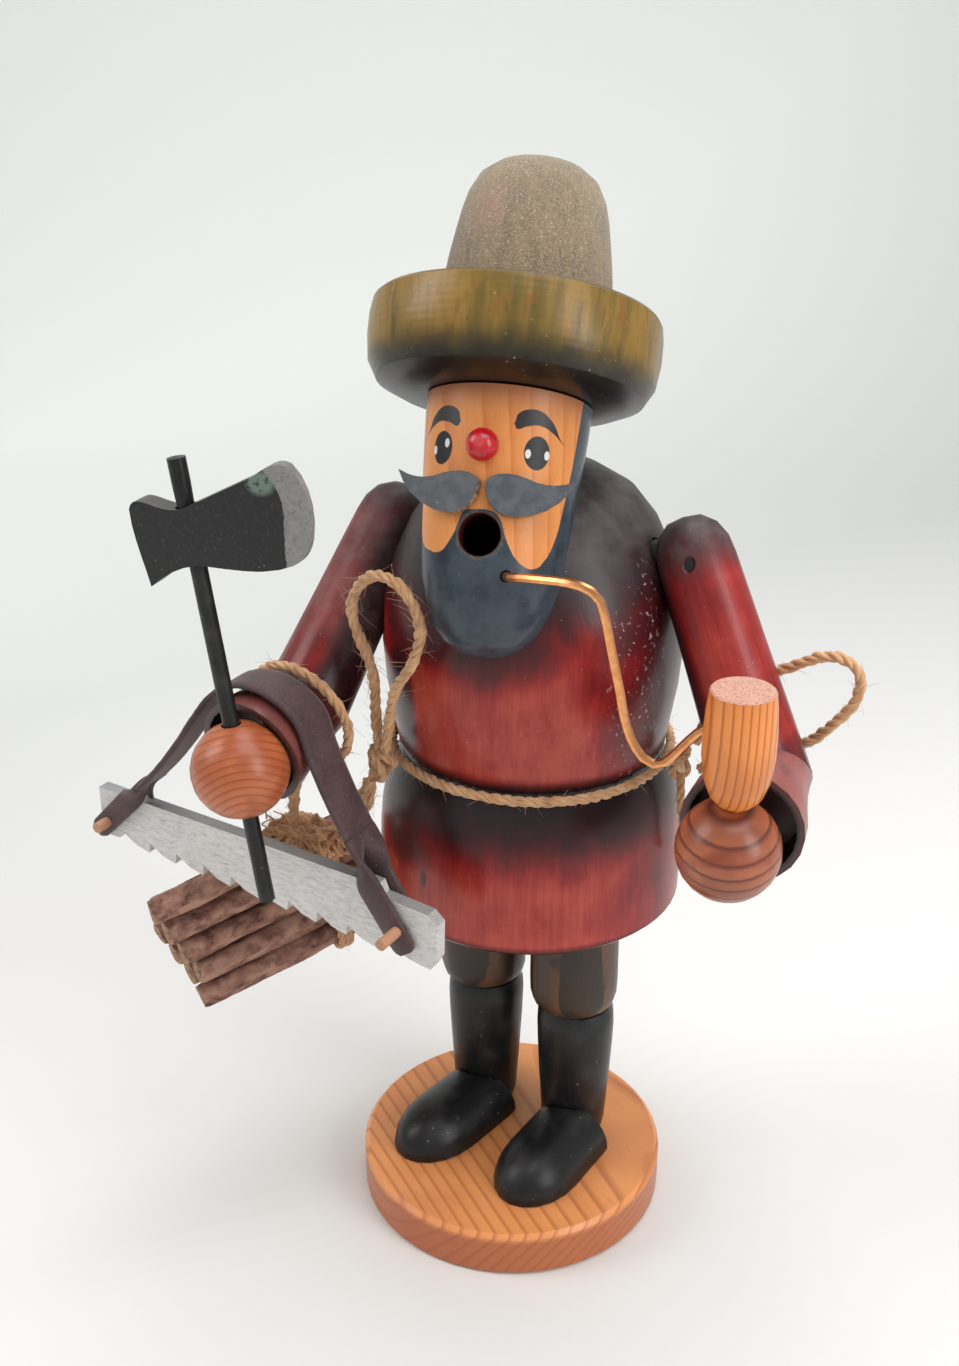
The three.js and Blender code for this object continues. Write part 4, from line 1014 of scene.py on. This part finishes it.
def make_twine(material):
    """Belt, knots, ties and the turns that hold the saw arm and the sticks."""
    def ring(centre, radius, count=120):
        t = np.linspace(0, 2 * math.pi, count)
        return np.stack([centre[0] + radius * np.cos(t), centre[1] + radius * np.sin(t),
                         centre[2] + 0.25 * np.sin(3 * t + 1)], 1)

    belt = Build()
    belt_line = ring((*AXIS, WAIST_Z + 0.6), 30.6)
    twine(belt, belt_line, 1.12, seed=31)
    hairs(belt, belt_line, 300, (0.8, 3.6), 32)
    belt.piece("belt", material, "upper", ["belt_twine"], "jute_twine")

    knot = Build()
    out = (-0.62, -0.78, 0.05)
    twine(knot, knot_line((-20.9, -18.2, 113.6), (3.6, 3.3, 1.5), out), 1.05, seed=33)
    twine(knot, smooth_path([(-23.6, -17.2, 115.8), (-21.6, -20.4, 115.4), (-19.2, -21.2, 112.6),
                             (-19.9, -20.2, 110.2),
                             (-22.4, -18.8, 110.6), (-24.2, -17.4, 112.9)], 40), 1.0, seed=34)
    twine(knot, smooth_path([(-20.9, -19.6, 117.9), (-21.2, -19.9, 114.6), (-21.9, -20.2, 111.4),
                             (-22.9, -20.6, 108.4)], 20), 1.0, seed=35)
    hairs(knot, knot_line((-20.9, -18.4, 113.6), (4, 3.6, 1.5), out), 46, (1, 5), 36)
    knot.piece("belt_knot_tied", material, "upper", ["belt_knot"], "jute_twine")

    link = Build()
    for k, (dx, dz) in enumerate(((0, 0), (1.5, -0.4), (-1.3, 0.5), (0.4, 0.9))):
        drop = smooth_path([(-22.4 + dx * 0.5, -20.6 - 0.3 * k, 109.6), (-23.8 + dx, -21.3, 104.6 + dz),
                            (-26.2 + dx, -21.4 + 0.3 * k, 100.6 + dz), (-28.9 + dx * 0.6, -21, 97.6)], 24)
        twine(link, drop, 0.85 if k else 1.15, plies=2 if k else 3, seed=37 + 5 * k)
        hairs(link, drop, 34, (1, 5), 39 + k, radius=1.6)
    link.piece("link_strands", material, "upper", ["link_twine"], "jute_twine")

    hip = Build()
    twine(hip, knot_line((32.8, 14.4, 112.6), (3.0, 3.2, 1.2), (1, 0.05, 0)), 1.0, seed=41)
    tail = smooth_path([(33, 14.8, 111), (33.9, 13.6, 104), (35.4, 12.6, 98), (35.2, 12, 92.8)], 30)
    twine(hip, tail, 1.0, seed=42, fray=0.8)
    hairs(hip, tail, 30, (1, 3.5), 43)
    hip.piece("hip_tie", material, "upper", ["hip_knot"], "jute_twine")

    loop = Build()
    aim = Vector(AIMS["right"])
    middle = Vector(ELBOWS["right"]) + aim.normalized() * 4.3 + Vector((0.9, 0, -0.9))
    m = np.array(axes(aim))
    t = np.linspace(0, 2 * math.pi, 90)
    flat = np.stack([12.2 * np.cos(t), 12.2 * np.sin(t), 0.2 * np.sin(2 * t)])
    loop_line = np.array(middle) + (m @ flat).T
    twine(loop, loop_line, 1.12, seed=44)
    hairs(loop, loop_line, 170, (1, 5), 45)
    loop.piece("arm_loop", material, "upper", ["arm_loop_twine"], "jute_twine")

    tangle = Build()
    chance = random.Random(46)
    centre = np.array((-39.6, -22.6, 91.2))
    for strand in range(11):  # loose turns, drawn down to the sticks
        a = strand * 2.4
        reach = 5 + 5.5 * chance.random()
        points = [centre + (chance.uniform(-7, 9), chance.uniform(-3, 3), chance.uniform(1, 5.4))]
        for i in range(4):
            b = a + i * 1.5
            points.append(centre + (reach * math.cos(b), 3.4 * math.sin(b + strand),
                                    4.2 * math.sin(b) - 0.8))
        points.append(centre + (chance.uniform(-9, 6), chance.uniform(-3, 2), chance.uniform(-6, -3)))
        twine(tangle, smooth_path(points, 60), 0.9, plies=2, seed=50 + strand, fray=0.9)
    rise = smooth_path([(-37.4, -26.6, 108.4), (-38.6, -26.4, 103.6), (-40.2, -24.6, 97),
                        (-40, -22.4, 91.4)], 30)
    twine(tangle, rise, 1.25, seed=60)
    hairs(tangle, rise, 60, (1, 4), 62)
    top = np.array((-48.9, -9.6, 87.9))  # where the turns cross the uppermost stick
    for k in range(5):  # down to the turns round the sticks
        off = np.array((chance.uniform(-1.2, 1.2), chance.uniform(-1.4, 1.4), 0))
        start = centre + (chance.uniform(-6, 1), chance.uniform(-1, 3), chance.uniform(-1, 3))
        twine(tangle, smooth_path([start, (start + top) / 2 + off + (0, 0, 1.2), top + off,
                                   top + off * 1.2 + (-3.2 if k % 2 else 4.2, 1.2, -5 - k)], 50), 0.85,
              plies=2,
              seed=64 + k, fray=0.4)
    for k in range(3):  # up to the belt's end
        far = np.array((-29.0 + 0.9 * k, -21.2 + 0.5 * k, 97.8 - 0.5 * k))
        twine(tangle, smooth_path([far, far + (-2.6, -0.6, -1.6), far + (-6, -1.5 + k, -4.4),
                                   centre + (1 - 3 * k, 0, 0)], 40), 0.9, plies=2, seed=84 + k)
    for i in range(70):  # frayed yarns
        start = centre + np.array((chance.uniform(-9, 9.5), chance.uniform(-4, 1), chance.uniform(-3, 4.5)))
        way = np.array((chance.gauss(0, 3.6), chance.uniform(-1.2, 0.6), chance.gauss(-1.5, 3)))
        curl = np.array([chance.gauss(0, 1.1) for _ in range(3)])
        tangle.tube(smooth_path([start, start + way * 0.5 + curl, start + way], 10),
                    chance.uniform(0.10, 0.24), 4)
    hairs(tangle, smooth_path([centre + (-9, -2, 1), centre + (0, -3, 3), centre + (9, -2, -1)], 30), 160,
          (2, 6), 61,
          0.06, 3)
    tangle.piece("bundle_tangle", material, "firewood", ["bundle_lashing"], "jute_twine")


def make_wrap(material):
    """Three turns of twine round the sticks, in the section that the sticks give."""
    run, flat, up = bundle_axes()
    build = Build()
    corners = [(-7.2, 11), (-5.4, 14.4), (-1, 16.2), (3.6, 17.6), (6.4, 15.6), (7.3, 11), (7.3, 0),
               (7.3, -11),
               (6.4, -15.6), (3.6, -17.6), (-1, -16.2), (-5.4, -14.4), (-7.2, -11), (-7.2, 0)]
    for turn, shift in enumerate((-1.55, 0.2, 1.7)):
        line = smooth_path([BUNDLE + run * (WRAP_AT + shift * (1 if b > 0 else 0.7))
                            + (flat * a + up * b) * 0.985
                            for a, b in corners], 120, True)
        twine(build, np.vstack([line, line[:1]]), 0.95, seed=70 + turn)
        hairs(build, line, 30, (1, 3.5), 75 + turn)
    build.piece("bundle_turns", material, "firewood", ["bundle_wrap"], "jute_twine")


# ---- sticks -----------------------------------------------------------------------------------
BUNDLE = np.array((-53.1, -17.3, 68.1))
STICK_LENGTH, WRAP_AT = 51, 12.5  # the twine lies beyond the sticks' middle


def bundle_axes():
    run = Vector((0.45, 0.87, 0.17)).normalized()
    flat = Vector((0.87, -0.45, 0)).normalized()
    return np.array(run), np.array(flat), np.array(flat.cross(run).normalized())


def make_sticks():
    run, flat, up = bundle_axes()
    for i in range(9):
        across, rise = (-2.9, -10.2 + 3.4 * (i - 1)) if i % 2 else (2.9, -13.6 + 3.4 * i)
        shift = 0.6 * (((i * 7) % 5) - 2) - 0.21 * rise
        start = BUNDLE + flat * across + up * rise + run * (shift - STICK_LENGTH / 2)
        thick = 2.95 + 0.04 * ((i * 3) % 4)
        chance = random.Random(80 + i)
        wave = [chance.uniform(0, 6.28) for _ in range(6)]
        sides, rings = 22, 56
        build = Build()
        for r in range(rings + 1):
            t = r / rings
            z = t * (STICK_LENGTH - 2)
            end = 0.93 if r in (0, rings) else 1
            for k in range(sides):
                a = 2 * math.pi * k / sides
                rough = (0.045 * math.sin(2 * a + wave[0] + z * 0.10)
                         + 0.030 * math.sin(5 * a + wave[1] - z * 0.17)
                         + 0.022 * math.sin(9 * a + wave[2] + z * 0.4) + 0.03 * math.sin(z * 0.33 + wave[3])
                         + 0.016 * chance.uniform(-1, 1))
                radius = thick * (0.945 + rough) * end
                slant = 0.0
                if r in (0, 1):
                    slant = 0.5 * math.cos(a + wave[4])
                build.co.append(start + run * max(0.0, z + slant * (1 if r == 0 else 0.6))
                                + (flat * math.cos(a) + up * math.sin(a)) * radius)
        for r in range(rings):
            for k in range(sides):
                a, c = r * sides + k, r * sides + (k + 1) % sides
                build.faces.append((a, a + sides, c + sides, c))
                u0, u1 = (n / rings * (STICK_LENGTH - 2) for n in (r, r + 1))
                v0, v1 = 3 * k / sides, 3 * (k + 1) / sides
                build.uv.append(((u0, v0), (u1, v0), (u1, v1), (u0, v1)))
        for r, order in ((0, range(sides)), (rings, reversed(range(sides)))):
            build.faces.append(tuple(r * sides + k for k in order))
            build.uv.append(((0, 0),) * sides)
        made = build.piece(f"twig_{i + 1}", bark(i), "firewood", [f"firewood_stick_{i + 1}"], "bark")
        made.data.materials.append(cut_end(tuple(start), tuple(run)))
        for face in made.data.polygons[-2:]:
            face.material_index, face.use_smooth = 1, False


# ---- strap ------------------------------------------------------------------------------------
BAND = [(-83, 90.5), (-77.1, 96.3), (-70.5, 102.8), (-63.4, 110.2), (-56.6, 118.8), (-51.8, 125.6),
        (-47.6, 130.8),
        (-42.8, 134), (-37.4, 134.8), (-31.4, 133), (-26.7, 129), (-24.2, 121.4), (-20.2, 112),
        (-14.8, 101.9),
        (-8.6, 90)]


def make_strap(material):
    """A leather band over the forearm; both ends are slit and lie on the two faces of the blade."""
    line = smooth_path([(x, 0, z) for x, z in BAND], 140)
    line = line[line[:, 2] > 104.4]  # the slits begin here
    build = Build()
    across = 10
    tangent = np.gradient(line, axis=0)
    tangent /= np.linalg.norm(tangent, axis=1)[:, None]
    side = np.stack([tangent[:, 2], np.zeros(len(line)), -tangent[:, 0]], 1)
    chance = random.Random(90)
    for i, p in enumerate(line):
        skew = STRAP_SKEW * (p[0] - STRAP_MIDDLE)
        cup = 0.30 * math.sin(i * 0.09 + 1)
        for face in (1, -1):
            span = range(across + 1) if face > 0 else reversed(range(across + 1))
            for k in span:
                v = 2 * k / across - 1
                edge = 0.55 if k in (0, across) else 1.0
                y = SAW_Y + skew + v * (STRAP_W / 2 - 0.15)
                q = p + side[i] * (face * STRAP_T / 2 * 0.9 * edge + cup * (v * v - 0.4) * 0.5
                                   + 0.05 * chance.uniform(-1, 1))
                build.co.append((q[0], y, q[2]))
    count = 2 * (across + 1)
    build.skin(0, range(len(line)), count, 1)
    build.caps(0, len(line), count)
    build.uv += [((0, 0),) * count] * 2
    for face in (-1, 1):
        for end, (x, dx), (z, dz), half in ((line[-1], (-1.8, -0.4), (83.8, 0.7), 3.1),
                                            (line[0], (-84.6, 0.4), (88.6, 0.4), 2.7)):
            skew = STRAP_SKEW * (end[0] - STRAP_MIDDLE)
            strap_half(build, face, end + (0, SAW_Y + skew, 0), (x + dx * (face + 1), z + dz * (face + 1)),
                       half)
    build.piece("strap", material, "saw", ["saw_strap"], "leather_strap")


def strap_half(build, face, start, stop, half):
    """One half of the band's slit end: it leaves the band edge-on and turns flat on to the blade."""
    out = SAW_T / 2 + GLUE_GAP + STRAP_T / 2
    a = np.array(start, float) + (0, face * STRAP_W / 4, 0)
    b = np.array((stop[0], SAW_Y + face * out, stop[1]), float)
    run = (b - a) * (1, 0, 1)
    length = np.linalg.norm(run)
    run /= length
    over = np.array((-run[2], 0, run[0])) * (1 if run[0] > 0 else -1)
    steps, first = 30, len(build.co)
    section = ((-1, -0.4), (-0.92, -1), (0, -1), (0.92, -1), (1, -0.4), (1, 0.4), (0.92, 1), (0, 1),
               (-0.92, 1),
               (-1, 0.4))
    for s in range(steps + 1):
        t = s / steps
        ease = min(1.0, t / 0.42)
        ease = ease * ease * (3 - 2 * ease)
        turn = math.pi / 2 * ease
        wide = np.array((0, math.cos(turn), 0)) + over * math.sin(turn) * face
        thick = np.cross(run, wide)
        centre = a + run * t * length + np.array((0, (b[1] - a[1]) * ease, 0))
        left_over = (1 - t) * length
        tip = math.sqrt(max(0.0, 1 - max(0.0, (1.6 - left_over) / 1.6) ** 2))
        w = (STRAP_W / 4 * (1 - ease) + half * ease) * (1 - 0.12 * t) * max(0.55, tip)
        for v, depth in section:
            build.co.append(centre + wide * v * w + thick * depth * STRAP_T / 2 * 0.92)
    count = len(section)
    build.skin(first, range(steps + 1), count, 1)
    build.caps(first, steps + 1, count)
    build.uv += [((0, 0),) * count] * 2


# ---- everything together ----------------------------------------------------------------------
def paint(name, material):
    slots = NODES[name].data.materials
    slots.clear()
    slots.append(material)


make_camera()
TWINE = jute()
make_cords(TWINE)

make_sweep()
make_studio()

shade_all()
BARE, BLACK = bare_wood(), black_lacquer("black_lacquer")
BLACK_BOOT = black_lacquer("boot_lacquer", 0.25)
TROUSERS, BLACK_SHAFT = trouser_stain(), black_lacquer("shaft_lacquer", 0.4, HAND_RIGHT, HANDLE_AIM)
LOOKS = {
    "base_disc": pine_base(), "boot_right": BLACK_BOOT, "boot_left": BLACK_BOOT, "shoe_right": BLACK,
    "shoe_left": BLACK, "trouser_right": TROUSERS, "trouser_left": TROUSERS, "lower_body": skirt_paint(),
    "incense_plate": tin(), "upper_body": torso_paint(), "head": face_paint(), "nose": nose_paint(),
    "hat_brim": brim_stain(), "hat_crown": crown_stain(), "pipe_stem": copper(), "pipe_bowl": pipe_wood(),
    "axe_handle": BLACK_SHAFT, "axe_head": axe_paint(), "saw_blade": saw_paint(), "strap_peg_inner": BARE,
    "strap_peg_outer": BARE, "hat_dowel": BARE,
    "hand_right": hand_wood("hand_right_wood", (-32, -49, 103), (0.5, -0.62, 0.42), (0.55, 0.155, 0.052),
                            (0.27, 0.055, 0.020), 1.5, (0.36, 0.082, 0.026)),
    "hand_left": hand_wood("hand_left_wood", (50, -21, 82), (0.88, 0.46, 0.04), (0.50, 0.145, 0.060),
                           (0.085, 0.014, 0.009), 2.6, (0.21, 0.036, 0.018)),
}
MOUSTACHE = moustache_paint()
for side in ("right", "left"):
    LOOKS["moustache_" + side] = MOUSTACHE
    LOOKS["upper_arm_" + side] = arm_paint(side)
    LOOKS["forearm_" + side] = forearm_paint(side)
    # painted shade: the shoulder dowels are black so the gap between arm and torso reads dark
    LOOKS["shoulder_dowel_" + side] = BLACK
    LOOKS["wrist_dowel_" + side] = BARE
for node_name, look in LOOKS.items():
    paint(node_name, look)

make_twine(TWINE)
make_wrap(TWINE)
make_sticks()
make_strap(leather())
